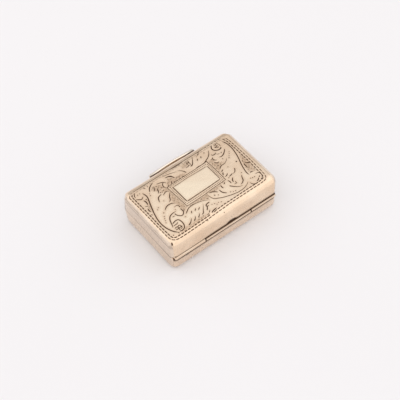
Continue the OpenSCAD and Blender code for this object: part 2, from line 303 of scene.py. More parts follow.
def end_shade_and_dark_reflection(metal):
    """Painted shade along the parting line, and a painted dark reflection in a line under the shoulder."""
    off_line = metal.distance(metal.split()[2], DARK_REFLECTION_LINE * MM)
    return metal.math("MAXIMUM", seam_shade(metal), metal.ramp(off_line, 0.25 * MM, 0.75 * MM, 0.27, 0.0))


def thumb_lip_shade(metal):
    """Painted shade along the foot of the thumbpiece's lip, thinner towards the lid's wall, on the upper side
    only.
    """
    _, y, _ = metal.split()
    lip_foot = (-HALF_W - LIP_REACH + 0.80) * MM
    lip_shade = metal.ramp(y, lip_foot, lip_foot + 0.20 * MM, 0.0, 0.9)
    thinner = metal.ramp(y, lip_foot + 0.45 * MM, -HALF_W * MM, 1.0, 0.75)
    return metal.math("MULTIPLY", metal.math("MULTIPLY", lip_shade, thinner), metal.attribute("upper"))


def worn_metal(name, warm, pale, gloss, crevice=None, stained=1.0):
    """Polished gilding over silver: drifting tone, fine scratches from rubbing, a tone that is partly wear
    and partly painted highlight, dark cuts and joints, and painted shade in crevices.
    """
    metal = Finish(name)
    fill(metal.shader, {"Metallic": 1.0})
    tone = metal.mix(metal.ramp(metal.noise(170, 3.0, 0.55), 0.32, 0.70), warm, pale)
    cloud = metal.ramp(metal.noise(520, 4.0, 0.6), 0.52, 0.78)
    tone = metal.mix(metal.math("MULTIPLY", cloud, 0.22 * stained), tone, ROSY)
    # Brighter tone: partly wear, partly a painted highlight
    rubbed_and_highlit = metal.attribute("rubbed_and_highlit")
    tone = metal.mix(rubbed_and_highlit, tone, RUBBED_AND_HIGHLIT)
    patchy = metal.ramp(metal.noise(1500, 3.0, 0.7), 0.25, 0.75, 0.35, 1.0)
    dull = metal.math("MULTIPLY", metal.attribute("dull"), patchy)
    tone = metal.mix(dull, tone, DULL)
    speck = metal.ramp(metal.noise(2600, 3.0, 0.65), 0.66, 0.74)
    speck = metal.math("MULTIPLY", speck, metal.math("SUBTRACT", 1.0, rubbed_and_highlit))
    tone = metal.mix(metal.math("MULTIPLY", speck, 0.30 * stained), tone, GRIME_AND_SHADE)
    lines = None
    for turn, scale in HAIR_LINES:
        hair = metal.ramp(metal.noise(1.0, 2.0, 0.5, metal.stretched(scale, (0, 0, turn))), 0.62, 0.70)
        lines = hair if lines is None else metal.math("MAXIMUM", lines, hair)
    # Dark mix for patina in cuts and joints, and for painted shade in crevices and under overhangs
    dirt_and_shade = metal.attribute("grime_and_shade")
    if crevice:
        dirt_and_shade = metal.math("MAXIMUM", dirt_and_shade, crevice(metal))
    tone = metal.mix(dirt_and_shade, tone, GRIME_AND_SHADE)
    metal.link(tone, metal.shader.inputs["Base Color"])
    rough = metal.ramp(metal.noise(700, 3.0, 0.6), 0.25, 0.8, gloss - 0.04, gloss + 0.08)
    rough = metal.math("ADD", rough, metal.math("MULTIPLY", lines, 0.08))
    rough = metal.math("ADD", rough, metal.math("MULTIPLY", metal.math("MAXIMUM", dirt_and_shade, dull), 0.25))
    metal.link(rough, metal.shader.inputs["Roughness"])
    uneven = metal.bump(metal.noise(330, 2.0, 0.4), 0.00006, 0.55)
    metal.link(metal.bump(lines, 0.000004, 0.5, uneven), metal.shader.inputs["Normal"])
    return metal.material


def sponge_finish(name):
    """Brown to pale foam, with painted shade in its small holes."""
    foam = Finish(name)
    patch = foam.ramp(foam.noise(260, 4.0, 0.6), 0.3, 0.75)
    tone = foam.mix(patch, SPONGE_BROWN, SPONGE_PALE)
    pores = foam.node("ShaderNodeTexVoronoi", feature="F1")
    fill(pores, {"Scale": 1500})
    foam.link(foam.place, pores.inputs["Vector"])
    hole = foam.ramp(pores.outputs["Distance"], 0.16, 0.36, 1.0, 0.0)
    tone = foam.mix(foam.math("MULTIPLY", hole, 0.55), tone, SPONGE_HOLE_SHADE)
    foam.link(tone, foam.shader.inputs["Base Color"])
    foam.link(foam.ramp(foam.noise(1800, 2.0), 0.2, 0.8, 0.82, 0.97), foam.shader.inputs["Roughness"])
    fill(foam.shader, {"Sheen Weight": 0.2})
    grain = foam.bump(foam.noise(3800, 4.0, 0.65), 0.00012, 0.7)
    foam.link(foam.bump(foam.math("MULTIPLY", hole, -1.0), 0.00016, 0.8, grain), foam.shader.inputs["Normal"])
    return foam.material


# The lid's, base's and ends' finishes carry painted shade along the parting line; the ends also carry a
# painted dark reflection under the shoulder, and the thumbpiece carries painted shade at its lip's foot
lid_gilt = worn_metal("rosy_lid_gilt", (0.830, 0.635, 0.460), (0.900, 0.725, 0.550), 0.22, seam_shade)
base_gilt = worn_metal("pale_base_gilt", (0.790, 0.630, 0.490), (0.860, 0.705, 0.565), 0.24, seam_shade, 0.35)
end_gilt = worn_metal("pale_end_gilt", (0.765, 0.630, 0.510), (0.820, 0.685, 0.560), 0.22, end_shade_and_dark_reflection, 0.5)
hinge_gilt = worn_metal("hinge_gilt", (0.830, 0.640, 0.470), (0.900, 0.740, 0.570), 0.22)
thumb_gilt = worn_metal("thumb_gilt", (0.930, 0.830, 0.710), (0.970, 0.890, 0.790), 0.22, thumb_lip_shade, 0.3)
inner_gilt = worn_metal("bright_inner_gilt", (0.860, 0.610, 0.290), (0.930, 0.730, 0.420), 0.20)
# Near-black finish: painted shade for the hollow behind the barrel
bearer_shade = worn_metal("painted_crevice_shade", (0.100, 0.060, 0.038), (0.160, 0.100, 0.065), 0.45)
sponge_look = sponge_finish("natural_sponge")


# Engraving on the lid, in plan, in millimetres: each cut has its swelling, its width and its points
STEMS = [
    ("even", 0.31, (12.6, -7.7), (12.42, -7.0), (12.33, -6.2), (12.5, -5.3), (12.85, -4.4), (13.2, -3.4),
     (13.55, -2.4), (13.85, -1.5), (14.15, -0.6), (14.4, 0.4), (14.62, 1.4), (14.74, 2.5), (14.74, 3.5),
     (14.62, 4.5), (14.35, 5.5), (13.95, 6.4), (13.45, 7.2), (12.75, 7.95)),
    ("even", 0.29, (-14.15, -8.5), (-14.42, -7.7), (-14.6, -6.8), (-14.62, -5.6), (-14.55, -4.5),
     (-14.35, -3.4), (-14.05, -2.1), (-13.7, -0.9), (-13.3, 0.2), (-12.95, 1.3), (-12.65, 2.4),
     (-12.45, 3.5), (-12.4, 4.2), (-12.52, 4.9)),
]

ROSETTES = [
    ("swell", 0.30, (9.6, 2.5), (10.3, 2.48), (11.0, 2.6), (11.6, 2.87), (12.05, 3.35), (12.35, 3.9),
     (12.55, 4.5), (12.75, 5.2), (13.0, 5.9)),
    ("even", 0.29, (12.45, 5.08), (11.8, 4.85), (11.2, 4.75), (10.7, 4.83), (10.4, 5.15), (10.25, 5.65),
     (10.2, 6.2), (10.27, 6.85), (10.5, 7.4), (10.85, 7.78), (11.35, 7.97), (11.9, 8.0), (12.35, 7.9)),
    ("swell", 0.24, (12.6, 5.75), (12.0, 5.7), (11.5, 5.65), (11.15, 5.4)),
    ("even", 0.24, (12.75, 6.55), (12.3, 6.4), (11.9, 6.5), (11.5, 6.38), (11.15, 6.5)),
    ("even", 0.24, (12.85, 7.02), (12.3, 7.05), (11.7, 7.0), (10.85, 7.0)),
    ("even", 0.22, (12.0, 6.45), (11.97, 7.0), (12.02, 7.75)),
    ("even", 0.20, (11.15, 6.5), (11.1, 7.0), (11.25, 7.4), (11.7, 7.45)),
    ("even", 0.32, (-11.1, -9.2), (-10.72, -8.8), (-10.47, -8.3), (-10.42, -7.8), (-10.6, -7.3),
     (-11.0, -6.95), (-11.5, -6.7), (-12.0, -6.68), (-12.45, -6.85), (-12.65, -7.1)),
    ("even", 0.18, (-12.75, -7.4), (-12.85, -8.0), (-12.7, -8.6), (-12.4, -9.05), (-11.9, -9.3)),
    ("even", 0.22, (-11.3, -7.95), (-11.75, -8.0), (-12.35, -8.05)),
    ("even", 0.20, (-11.45, -8.65), (-12.25, -8.75)),
    ("even", 0.22, (-12.1, -8.95), (-12.05, -8.4), (-12.1, -7.9)),
    ("even", 0.20, (-11.5, -8.3), (-11.45, -7.9), (-11.9, -7.45), (-12.3, -7.6)),
]

LEAF_EDGES = [
    ("head", 0.28, (7.85, 4.65), (7.35, 4.3), (6.8, 3.95), (6.3, 3.7), (5.8, 3.58), (5.2, 3.53),
     (4.5, 3.57), (3.7, 3.7), (3.0, 3.85), (2.2, 4.07), (1.6, 4.33), (1.1, 4.62), (0.55, 4.95)),
    ("swell", 0.23, (-0.05, 2.95), (0.02, 3.5), (-0.1, 4.1), (-0.27, 4.7), (-0.58, 5.25), (-1.05, 5.6),
     (-1.7, 5.92), (-2.4, 6.28), (-3.2, 6.57), (-4.0, 6.82), (-4.9, 7.08), (-5.8, 7.28), (-6.8, 7.45),
     (-7.8, 7.47), (-8.7, 7.4), (-9.5, 7.2), (-10.3, 6.85), (-10.85, 6.45)),
    ("swell", 0.26, (-3.2, -5.5), (-4.0, -5.5), (-5.0, -5.43), (-6.0, -5.55), (-6.6, -5.8), (-7.2, -6.1),
     (-7.8, -6.42), (-8.4, -6.9), (-8.95, -7.55), (-9.35, -8.3)),
    ("swell", 0.17, (5.6, -8.9), (4.5, -8.75), (3.3, -8.5), (2.3, -8.2), (1.5, -7.85)),
    ("even", 0.26, (8.05, 2.5), (8.0, 3.0), (7.97, 3.45), (8.12, 3.9), (8.45, 4.28), (8.85, 4.45),
     (9.25, 4.38), (9.65, 4.05), (9.98, 3.6), (10.12, 3.2), (10.1, 2.85)),
    ("tail", 0.30, (9.0, 1.2), (8.6, 1.13), (8.2, 1.22), (7.93, 1.5), (7.85, 1.8), (7.87, 2.05)),
    ("swell", 0.30, (8.45, 0.2), (8.7, -0.15), (9.2, -0.25), (9.8, -0.3), (10.4, -0.15), (10.9, 0.1),
     (11.35, 0.45)),
    ("swell", 0.30, (9.1, -4.25), (9.7, -4.1), (10.2, -3.9), (10.55, -3.5), (10.75, -3.0), (10.95, -2.5)),
    ("swell", 0.25, (7.1, -4.0), (7.5, -4.13), (7.9, -4.13), (8.4, -3.92), (8.85, -3.65)),
    ("swell", 0.27, (7.1, -3.2), (7.6, -2.7), (7.95, -2.2), (8.2, -1.7), (8.42, -1.3), (8.9, -0.9)),
    ("swell", 0.30, (10.85, -6.85), (10.5, -7.5), (10.1, -8.0), (9.6, -8.35), (9.1, -8.65), (8.5, -8.9)),
    ("swell", 0.25, (7.95, -7.85), (7.4, -7.7), (6.9, -7.55), (6.4, -7.3), (6.0, -6.95), (5.9, -6.55)),
    ("swell", 0.27, (6.3, -7.15), (6.8, -6.8), (7.05, -6.3), (7.07, -5.8), (6.9, -5.25)),
    ("tail", 0.34, (5.0, -8.15), (4.5, -8.1), (4.0, -7.8), (3.6, -7.4), (3.3, -7.0), (3.15, -6.55)),
    ("tail", 0.32, (1.0, -7.9), (0.5, -7.5), (0.1, -7.0), (-0.1, -6.55), (-0.28, -6.0)),
    ("head", 0.30, (-7.75, -1.25), (-8.1, -1.6), (-8.6, -1.83), (-9.1, -1.9), (-9.8, -1.95),
     (-10.4, -2.2), (-10.9, -2.55), (-11.2, -2.95)),
    ("tail", 0.32, (-9.35, 2.1), (-10.0, 1.97), (-10.45, 1.6), (-10.8, 0.98)),
    ("swell", 0.27, (-8.05, 2.22), (-8.7, 2.12), (-9.25, 1.92)),
    ("swell", 0.30, (-10.1, -4.55), (-10.5, -4.4), (-11.0, -4.4), (-11.6, -4.67), (-12.2, -5.1),
     (-12.6, -5.5), (-12.9, -5.9)),
    ("head", 0.32, (-6.25, 4.6), (-6.7, 5.1), (-7.2, 5.6), (-7.8, 6.08), (-8.4, 6.38), (-8.95, 6.52)),
    ("swell", 0.29, (-9.0, 6.0), (-9.5, 5.83), (-10.1, 5.4), (-10.4, 4.8), (-10.6, 4.25), (-10.9, 3.85)),
]

CURLS = [
    ("swell", 0.32, (-0.75, 3.15), (-1.2, 3.32), (-1.7, 3.5), (-2.2, 3.85), (-2.65, 4.3)),
    ("swell", 0.32, (-3.35, 4.05), (-3.4, 4.6), (-3.58, 5.1), (-3.88, 5.5), (-4.3, 5.88)),
    ("swell", 0.32, (-4.52, 3.15), (-4.45, 3.65), (-4.58, 4.15)),
    ("swell", 0.30, (-5.9, 3.0), (-5.5, 3.3)),
    ("swell", 0.27, (-6.95, 3.05), (-7.13, 3.5), (-7.15, 4.2)),
    ("swell", 0.30, (-8.55, 3.05), (-8.05, 3.55), (-7.82, 4.25)),
    ("swell", 0.24, (-8.35, 4.4), (-8.3, 4.75), (-8.35, 5.05)),
    ("swell", 0.18, (-7.6, 4.9), (-8.0, 5.05), (-8.3, 5.0)),
    ("tail", 0.34, (-11.1, 6.95), (-11.3, 7.5), (-11.65, 7.95), (-12.1, 8.12)),
    ("swell", 0.30, (-12.9, 7.72), (-13.45, 7.5), (-13.85, 7.15)),
    ("swell", 0.26, (-14.1, 7.05), (-14.5, 6.75)),
    ("swell", 0.22, (-14.2, 7.9), (-14.4, 7.55)),
    ("swell", 0.22, (-14.75, 7.55), (-14.95, 7.2)),
    ("tail", 0.32, (-14.05, 5.7), (-14.5, 5.68), (-14.95, 5.9), (-15.2, 6.2), (-15.15, 6.6)),
    ("swell", 0.28, (-13.1, 4.62), (-13.55, 4.5), (-14.0, 4.7)),
    ("swell", 0.30, (-13.72, 1.3), (-13.6, 2.0), (-13.68, 2.9)),
    ("swell", 0.30, (-14.2, 1.2), (-14.5, 1.62), (-15.1, 1.95)),
    ("swell", 0.28, (-8.15, -0.6), (-7.8, -0.4), (-7.45, -0.15)),
    ("swell", 0.31, (-7.6, 0.2), (-7.35, 0.5), (-7.1, 0.95)),
    ("swell", 0.28, (-7.2, 1.62), (-7.7, 1.58), (-8.3, 1.15)),
    ("swell", 0.29, (-8.0, -4.05), (-8.18, -3.55), (-8.55, -3.27), (-9.05, -3.3)),
    ("swell", 0.29, (-8.62, -5.6), (-8.4, -5.2), (-8.45, -4.7), (-8.68, -4.35), (-8.95, -4.25)),
    ("swell", 0.18, (-7.8, -5.25), (-8.4, -5.25)),
    ("swell", 0.27, (-9.05, -6.65), (-9.1, -6.25), (-9.5, -6.1), (-10.0, -6.15), (-10.3, -6.45)),
    ("swell", 0.17, (-10.1, -6.0), (-10.5, -5.6), (-11.0, -5.5)),
    ("swell", 0.24, (-11.65, -5.65), (-11.3, -5.3)),
    ("swell", 0.24, (4.95, -5.4), (4.65, -5.6), (4.52, -6.1)),
    ("swell", 0.21, (4.0, -5.75), (3.97, -5.3), (4.05, -4.95)),
    ("swell", 0.16, (2.9, -6.2), (2.3, -6.2), (1.9, -6.05)),
    ("swell", 0.28, (1.3, -5.6), (1.0, -5.35), (0.7, -5.2)),
    ("swell", 0.21, (6.25, -5.0), (6.0, -5.25), (5.85, -5.6)),
    ("swell", 0.24, (9.0, -7.6), (9.3, -7.1), (9.6, -6.55), (9.8, -6.25)),
    ("swell", 0.28, (8.8, -6.5), (8.9, -6.0), (9.1, -5.45), (9.45, -5.0)),
    ("swell", 0.27, (15.15, -7.05), (14.7, -6.72), (14.3, -6.35), (13.9, -6.2), (13.5, -6.4),
     (13.15, -6.62)),
    ("swell", 0.23, (14.85, -7.6), (14.7, -8.3), (14.4, -8.75), (14.1, -8.95)),
    ("swell", 0.18, (13.85, -8.3), (13.9, -7.8)),
    ("swell", 0.18, (13.25, -8.3), (13.2, -7.9)),
    ("swell", 0.34, (13.77, -5.45), (13.6, -4.8), (13.65, -4.2), (13.78, -3.75)),
    ("swell", 0.19, (14.65, -3.65), (14.25, -3.35), (13.85, -3.42)),
    ("swell", 0.32, (14.52, -2.65), (14.65, -2.0), (14.57, -1.35)),
    ("swell", 0.22, (15.0, -0.55), (14.8, -0.2)),
    ("swell", 0.25, (11.75, -9.7), (11.4, -9.2), (11.05, -8.5)),
    ("swell", 0.20, (11.25, 3.42), (10.9, 3.4), (10.55, 3.5)),
    ("swell", 0.17, (8.0, 3.45), (7.7, 3.4), (7.4, 3.5)),
]

HATCHES = [
    ("swell", 0.26, (6.65, 5.4), (6.3, 4.85)),
    ("swell", 0.26, (5.5, 5.35), (5.25, 5.1), (5.0, 4.85)),
    ("swell", 0.24, (4.65, 5.65), (4.3, 5.4), (3.95, 5.15)),
    ("head", 0.36, (9.35, 7.8), (8.75, 7.55), (8.15, 7.12), (7.7, 6.6)),
    ("head", 0.36, (7.45, 7.55), (7.0, 7.3), (6.5, 6.7)),
    ("head", 0.33, (6.0, 7.45), (5.55, 7.1), (5.1, 6.6)),
    ("head", 0.29, (4.75, 7.28), (4.2, 7.1), (3.85, 6.6), (3.5, 6.1), (3.1, 5.6), (2.7, 5.05)),
    ("even", 0.30, (2.95, 7.02), (2.55, 6.6), (2.3, 6.15), (2.3, 5.75), (2.0, 5.53), (1.5, 5.45),
     (1.0, 5.4)),
    ("swell", 0.24, (2.3, 6.3), (2.0, 6.12), (1.7, 6.1)),
    ("swell", 0.22, (2.95, 7.9), (2.6, 7.6), (2.35, 7.42)),
    ("swell", 0.20, (3.7, 8.12), (3.1, 8.05)),
    ("swell", 0.36, (2.4, 8.35), (1.9, 8.1), (1.3, 7.98), (0.6, 7.88)),
    ("swell", 0.26, (1.95, 8.55), (1.35, 8.45), (0.8, 8.35)),
    ("head", 0.33, (-2.5, -6.85), (-3.1, -7.05), (-3.65, -7.65), (-4.1, -8.3), (-4.5, -8.9), (-4.95, -9.4)),
    ("swell", 0.29, (-5.0, -7.35), (-5.4, -7.85)),
    ("swell", 0.30, (-6.3, -7.45), (-6.6, -7.95)),
    ("swell", 0.29, (-6.1, -8.9), (-6.5, -9.3), (-7.0, -9.7)),
    ("swell", 0.22, (-7.85, -8.2), (-8.15, -8.6)),
    ("tail", 0.30, (-1.1, -7.3), (-1.7, -7.33), (-2.15, -7.42), (-2.5, -7.55)),
    ("swell", 0.25, (-2.0, -8.22), (-2.55, -8.4), (-3.05, -8.45)),
    ("swell", 0.25, (-2.55, -9.0), (-3.25, -9.45)),
    ("swell", 0.17, (-3.0, -8.3), (-2.92, -7.6), (-2.65, -6.95)),
    ("swell", 0.34, (4.75, -8.03), (4.01, -7.94), (3.5, -7.52), (3.23, -6.81)),
    ("swell", 0.40, (2.14, -9.8), (0.88, -9.74), (-0.09, -9.72), (-1.09, -9.74), (-2.0, -9.95)),
    ("tail", 0.22, (-2.6, -9.6), (-2.35, -8.77), (-2.2, -7.9)),
    ("tail", 0.22, (-3.3, -9.6), (-3.06, -8.84), (-2.82, -7.95)),
    ("swell", 0.28, (-7.3, -9.9), (-6.9, -9.3), (-6.6, -9.05), (-6.13, -8.83)),
]

# Plain panel of the cartouche: two opposite corners, and the width over which its polish fades
PANEL_LOW, PANEL_HIGH = (-5.72, -4.2, 0), (5.42, 1.6, 0)
PANEL_FADE = 0.3
# Frame of the plain panel: its inner line, and the broken line and beads outside it
CARTOUCHE = [
    ("even", 0.26, (5.42, -4.35), (5.42, -2.0), (5.4, 0.0), (5.32, 1.75)),
    ("even", 0.24, (5.35, 1.8), (3.0, 1.73), (0.0, 1.65), (-3.0, 1.53), (-5.75, 1.38)),
    ("even", 0.20, (-5.72, 1.35), (-5.75, -1.5), (-5.7, -4.2)),
    ("even", 0.16, (5.4, -4.2), (3.0, -4.2), (1.0, -4.3), (-0.5, -4.28), (-3.0, -4.2), (-5.7, -4.2)),
]
FRAME_LINES = [
    ((6.65, -5.1), (6.5, -2.0), (6.35, 1.0), (6.25, 2.95)),
    ((6.3, 2.97), (3.0, 2.95), (0.5, 2.88), (-2.0, 2.68), (-6.6, 2.45)),
    ((-6.68, 2.45), (-6.68, -2.0), (-6.62, -5.6)),
    ((6.6, -5.15), (4.0, -5.25), (1.0, -5.3), (-2.0, -5.3), (-6.6, -5.5)),
]
FRAME_BEADS = [
    ((6.0, -4.6), (5.95, -1.0), (5.85, 2.3)),
    ((5.8, 2.38), (0.0, 2.25), (-6.2, 1.95)),
    ((-6.2, 1.9), (-6.2, -4.7)),
    ((5.9, -4.75), (0.0, -4.8), (-6.2, -4.85)),
]

# Double border of short cuts round the lid
OUTER_BORDER = [
    (16.05, -8.6), (16.08, -6.0), (16.08, 0.0), (16.05, 3.0), (15.95, 5.0), (15.85, 7.0), (15.68, 8.1),
    (15.3, 8.8), (14.8, 9.2), (14.1, 9.42), (13.0, 9.5), (11.0, 9.5), (8.0, 9.42), (5.0, 9.33),
    (3.0, 9.22), (1.0, 9.1), (-1.0, 9.02), (-3.0, 8.9), (-6.0, 8.87), (-10.0, 8.85), (-13.0, 8.83),
    (-14.5, 8.7), (-15.3, 8.3), (-15.7, 7.5), (-15.8, 6.0), (-15.8, 0.0), (-15.78, -6.0), (-15.68, -8.2),
    (-15.2, -9.2), (-14.2, -9.75), (-12.0, -9.88), (0.0, -9.88), (12.0, -9.85), (14.6, -9.65),
    (15.6, -9.2), (16.05, -8.6),
]
INNER_BORDER = [
    (0.5, 8.35), (-1.5, 8.22), (-4.0, 8.22), (-8.0, 8.15), (-12.5, 8.13), (-14.2, 8.02), (-14.9, 7.6),
    (-15.12, 6.9), (-15.15, 5.0), (-15.15, -6.0), (-15.05, -8.0), (-14.7, -8.9), (-13.9, -9.22),
    (-12.0, -9.28), (0.0, -9.28), (10.0, -9.28), (13.9, -9.2), (14.9, -8.95), (15.32, -8.3), (15.4, -6.0),
    (15.4, 2.0), (15.35, 4.0), (15.22, 6.0), (15.1, 7.4), (14.9, 8.2), (14.45, 8.6), (13.8, 8.78),
    (12.0, 8.82), (9.0, 8.75), (6.0, 8.7), (3.1, 8.6),
]
FAR_LINE = [(13.5, -9.8), (9.0, -9.88), (3.0, -9.88), (-3.0, -9.88), (-9.0, -9.88)]

# Dots of the punch and old pits: place and radius
DOTS = [
    (-12.6, -0.5, 0.24), (-11.9, -2.7, 0.18), (-12.3, -3.2, 0.17), (-12.8, -3.75, 0.16),
    (-13.2, -4.3, 0.14), (-8.1, -2.4, 0.17), (-10.4, -3.5, 0.16), (-9.75, -0.45, 0.15), (-7.7, 2.5, 0.17),
    (-11.3, 3.2, 0.16), (-12.6, 6.2, 0.18), (-13.2, 6.25, 0.17), (-12.1, 6.0, 0.15), (-5.3, 6.25, 0.15),
    (-5.9, 6.6, 0.15), (-6.6, 6.7, 0.15), (-13.95, 0.4, 0.17), (-1.4, 4.6, 0.2), (-2.2, 5.1, 0.17),
    (0.2, 6.6, 0.14), (0.9, 6.4, 0.14), (-0.2, 7.1, 0.15), (-0.8, 6.9, 0.14), (-1.5, 7.2, 0.15),
    (2.3, -5.3, 0.17), (8.95, -4.85, 0.18), (7.7, -6.0, 0.16), (8.5, -7.2, 0.16), (11.3, -6.4, 0.15),
    (11.5, -5.7, 0.16), (13.05, -5.4, 0.18), (12.2, 1.0, 0.16), (12.8, 2.0, 0.16), (13.1, 2.6, 0.16),
    (13.3, 3.2, 0.15), (13.6, 3.8, 0.16), (12.3, -1.2, 0.15), (12.85, -0.8, 0.15), (9.9, -2.1, 0.14),
    (9.3, 2.0, 0.13), (14.0, -2.9, 0.16), (10.6, -9.6, 0.18), (10.25, -8.7, 0.17), (14.3, 7.85, 0.18),
    (12.75, 8.05, 0.2), (4.8, 7.8, 0.17), (8.6, 5.3, 0.15), (-5.7, -8.6, 0.14), (5.3, 10.4, 0.15),
    (-0.1, 10.2, 0.13), (2.0, 3.4, 0.14), (0.5, 4.3, 0.13),
]
# Matted ground between the leaves, by its corners
GROUND = [
    [(6.75, -5.3), (9.2, -5.1), (8.9, -4.4), (7.3, -4.2), (7.2, -3.2), (8.2, -1.3), (8.4, 0.3),
     (7.8, 1.2), (7.9, 2.6), (8.05, 4.1), (7.0, 3.5), (6.4, 3.1), (6.6, 0.0)],
    [(6.3, 3.1), (5.5, 3.45), (3.7, 3.65), (2.2, 4.0), (0.8, 4.7), (0.15, 4.2), (0.1, 3.1)],
    [(12.2, 8.15), (10.3, 7.8), (9.5, 8.1), (7.4, 7.75), (5.0, 7.65), (3.1, 8.15), (3.1, 8.5), (9.0, 8.7),
     (13.0, 8.75), (14.3, 8.5)],
    [(10.5, -7.0), (9.6, -7.9), (8.2, -7.5), (7.2, -7.0), (7.3, -5.5), (8.7, -5.2), (9.7, -6.0)],
    [(5.8, -6.5), (4.6, -7.7), (3.4, -6.5), (2.4, -6.6), (0.2, -6.2), (0.1, -5.45), (6.3, -5.3)],
    [(-0.3, -7.5), (-2.6, -7.4), (-3.5, -8.9), (-2.2, -9.1), (-0.3, -8.8)],
    [(-6.85, -5.5), (-8.2, -5.3), (-8.5, -4.4), (-7.9, -3.9), (-8.2, -3.3), (-9.0, -3.05), (-10.6, -2.5),
     (-8.5, -2.0), (-7.8, -1.3), (-7.1, 0.1), (-6.85, 2.3)],
    [(-13.5, 1.0), (-12.75, 4.3), (-13.6, 4.2), (-14.9, 5.2), (-14.95, -2.0), (-14.3, -1.5)],
    [(-0.2, 2.95), (-0.8, 3.0), (-2.3, 3.8), (-3.3, 3.9), (-4.3, 3.1), (-6.5, 2.85), (-6.5, 2.6),
     (-2.0, 2.8)],
    [(13.1, -5.6), (12.6, -4.9), (13.3, -3.2), (14.1, -0.8), (14.4, -1.0), (14.2, -2.6), (13.5, -4.0)],
]
DENTS = [("even", 0.42, (16.62, 10.35), (16.42, 10.1), (16.28, 9.95))]

# Depth of a full cut, the half width that gives it, its spread, and how finely a line is sampled
CUT_DEPTH = 0.085
FULL_CUT_HALF = 0.12
CUT_SPREAD = 1.15
SAMPLE = 0.035
# Reach of the finer grid round a cut, of the dull metal beside it, and of the painted shade beside the barrel
GRID_REACH = 0.12
DULL_REACH = 0.75
CREVICE = 0.2
# Matted ground: how dull it is, and the step and radius of its punched dots
MATTED_SHARE = 0.75
MATTING_STEP = 0.34
MATTING_R = 0.085
# Section of the arched lid on which the cuts were first read
READ_EDGE_Y, READ_EDGE_Z, READ_EDGE_R = 8.6, 7.919, 2.4
READ_ARCH_Z, READ_ARCH_R = -64.2, 75.0


def through(points):
    """Smooth line through the points, sampled evenly."""
    stops = np.array(points, float)
    if len(stops) == 2:
        stops = np.array([stops[0], (stops[0] + stops[1]) / 2, stops[1]])
    ends = np.vstack([2 * stops[0] - stops[1], stops, 2 * stops[-1] - stops[-2]])
    line = []
    for a, b, c, d in zip(ends, ends[1:], ends[2:], ends[3:]):
        t = np.linspace(0, 1, 24, endpoint=False)[:, None]
        line.append(0.5 * (2 * b + (c - a) * t
                           + (2 * a - 5 * b + 4 * c - d) * t ** 2
                           + (3 * b - a - 3 * c + d) * t ** 3))
    line = np.vstack(line + [stops[-1:]])
    run = np.concatenate([[0], np.cumsum(np.hypot(*np.diff(line, axis=0).T))])
    even = np.linspace(0, run[-1], max(3, int(run[-1] / SAMPLE)))
    return np.stack([np.interp(even, run, line[:, k]) for k in (0, 1)], 1)


def swelling(kind, count):
    """Share of a cut's width along its length: swelling, heavy at one end, or even."""
    u = np.linspace(0, 1, count)
    if kind == "swell":
        return 0.50 + 0.50 * np.sin(np.pi * u) ** 0.7
    if kind == "head":
        return np.minimum(1.0, 0.5 + 6 * u) * (1 - 0.62 * u)
    if kind == "tail":
        return np.minimum(1.0, 0.5 + 6 * (1 - u)) * (0.38 + 0.62 * u)
    return np.minimum(1.0, np.minimum(0.4 + 12 * u, 0.4 + 12 * (1 - u)))


def broken(points, dash, gap, width):
    """A line cut as a row of dashes."""
    line = through(points)
    step, pause = int(dash / SAMPLE), int(gap / SAMPLE)
    return [("even", width, line[i:i + step]) for i in range(0, len(line) - step // 2, step + pause)]


def along_sight(marks):
    """Slides places that were read on a lower, arched lid along the line of sight to the lid as it is."""
    camera_at = Vector((0, 0, PARTING)) + CAMERA_BACK * CAMERA_DISTANCE / MM
    x, y = marks[:, 0], marks[:, 1]
    side = np.maximum(np.abs(y) - READ_EDGE_Y, 0)
    edge_z = READ_EDGE_Z + np.sqrt(READ_EDGE_R ** 2 - np.minimum(side, READ_EDGE_R) ** 2)
    read_z = np.where(side > 0, edge_z, READ_ARCH_Z + np.sqrt(READ_ARCH_R ** 2 - y ** 2))
    slid = marks.copy()
    for _ in range(4):
        over = np.maximum(np.abs(slid[:, 1]) - (HALF_W - LID_EDGE_R), 0)
        past = np.maximum(np.abs(slid[:, 0]) - SHOULDER_START, 0)
        rim = np.sqrt(np.maximum(LID_EDGE_R ** 2 - over ** 2, 0)) - LID_EDGE_R
        z = LID_TOP + rim - SHOULDER_R + np.sqrt(np.maximum(SHOULDER_R ** 2 - past ** 2, 0))
        rise = (z - read_z) / (camera_at.z - read_z)
        slid[:, 0] = x + (camera_at.x - x) * rise
        slid[:, 1] = y + (camera_at.y - y) * rise
    return slid


def back_along_sight(x, y):
    """The places that slide to x and y on the lid's flat top."""
    there = np.column_stack([x, y, np.zeros(len(x))])
    read = there.copy()
    for _ in range(3):
        read[:, :2] += (there - along_sight(read))[:, :2]
    return read[:, 0], read[:, 1]


def inside_ground(x, y, soft):
    """1 on the matted ground, fading to 0 over a soft edge."""
    most = np.zeros(len(x))
    for corners in GROUND:
        edge = np.array(corners)
        crossed = np.zeros(len(x), bool)
        gap = np.full(len(x), np.inf)
        for (x0, y0), (x1, y1) in zip(edge, np.roll(edge, -1, axis=0)):
            along, across = x1 - x0, y1 - y0
            if across:
                crossed ^= ((y0 > y) != (y1 > y)) & (x < along * (y - y0) / across + x0)
            t = np.clip(((x - x0) * along + (y - y0) * across) / (along ** 2 + across ** 2), 0, 1)
            gap = np.minimum(gap, np.hypot(x - x0 - t * along, y - y0 - t * across))
        inward = np.where(crossed, gap, -gap)
        most = np.maximum(most, np.clip(0.5 * inward / soft + 0.5, 0, 1))
    return most


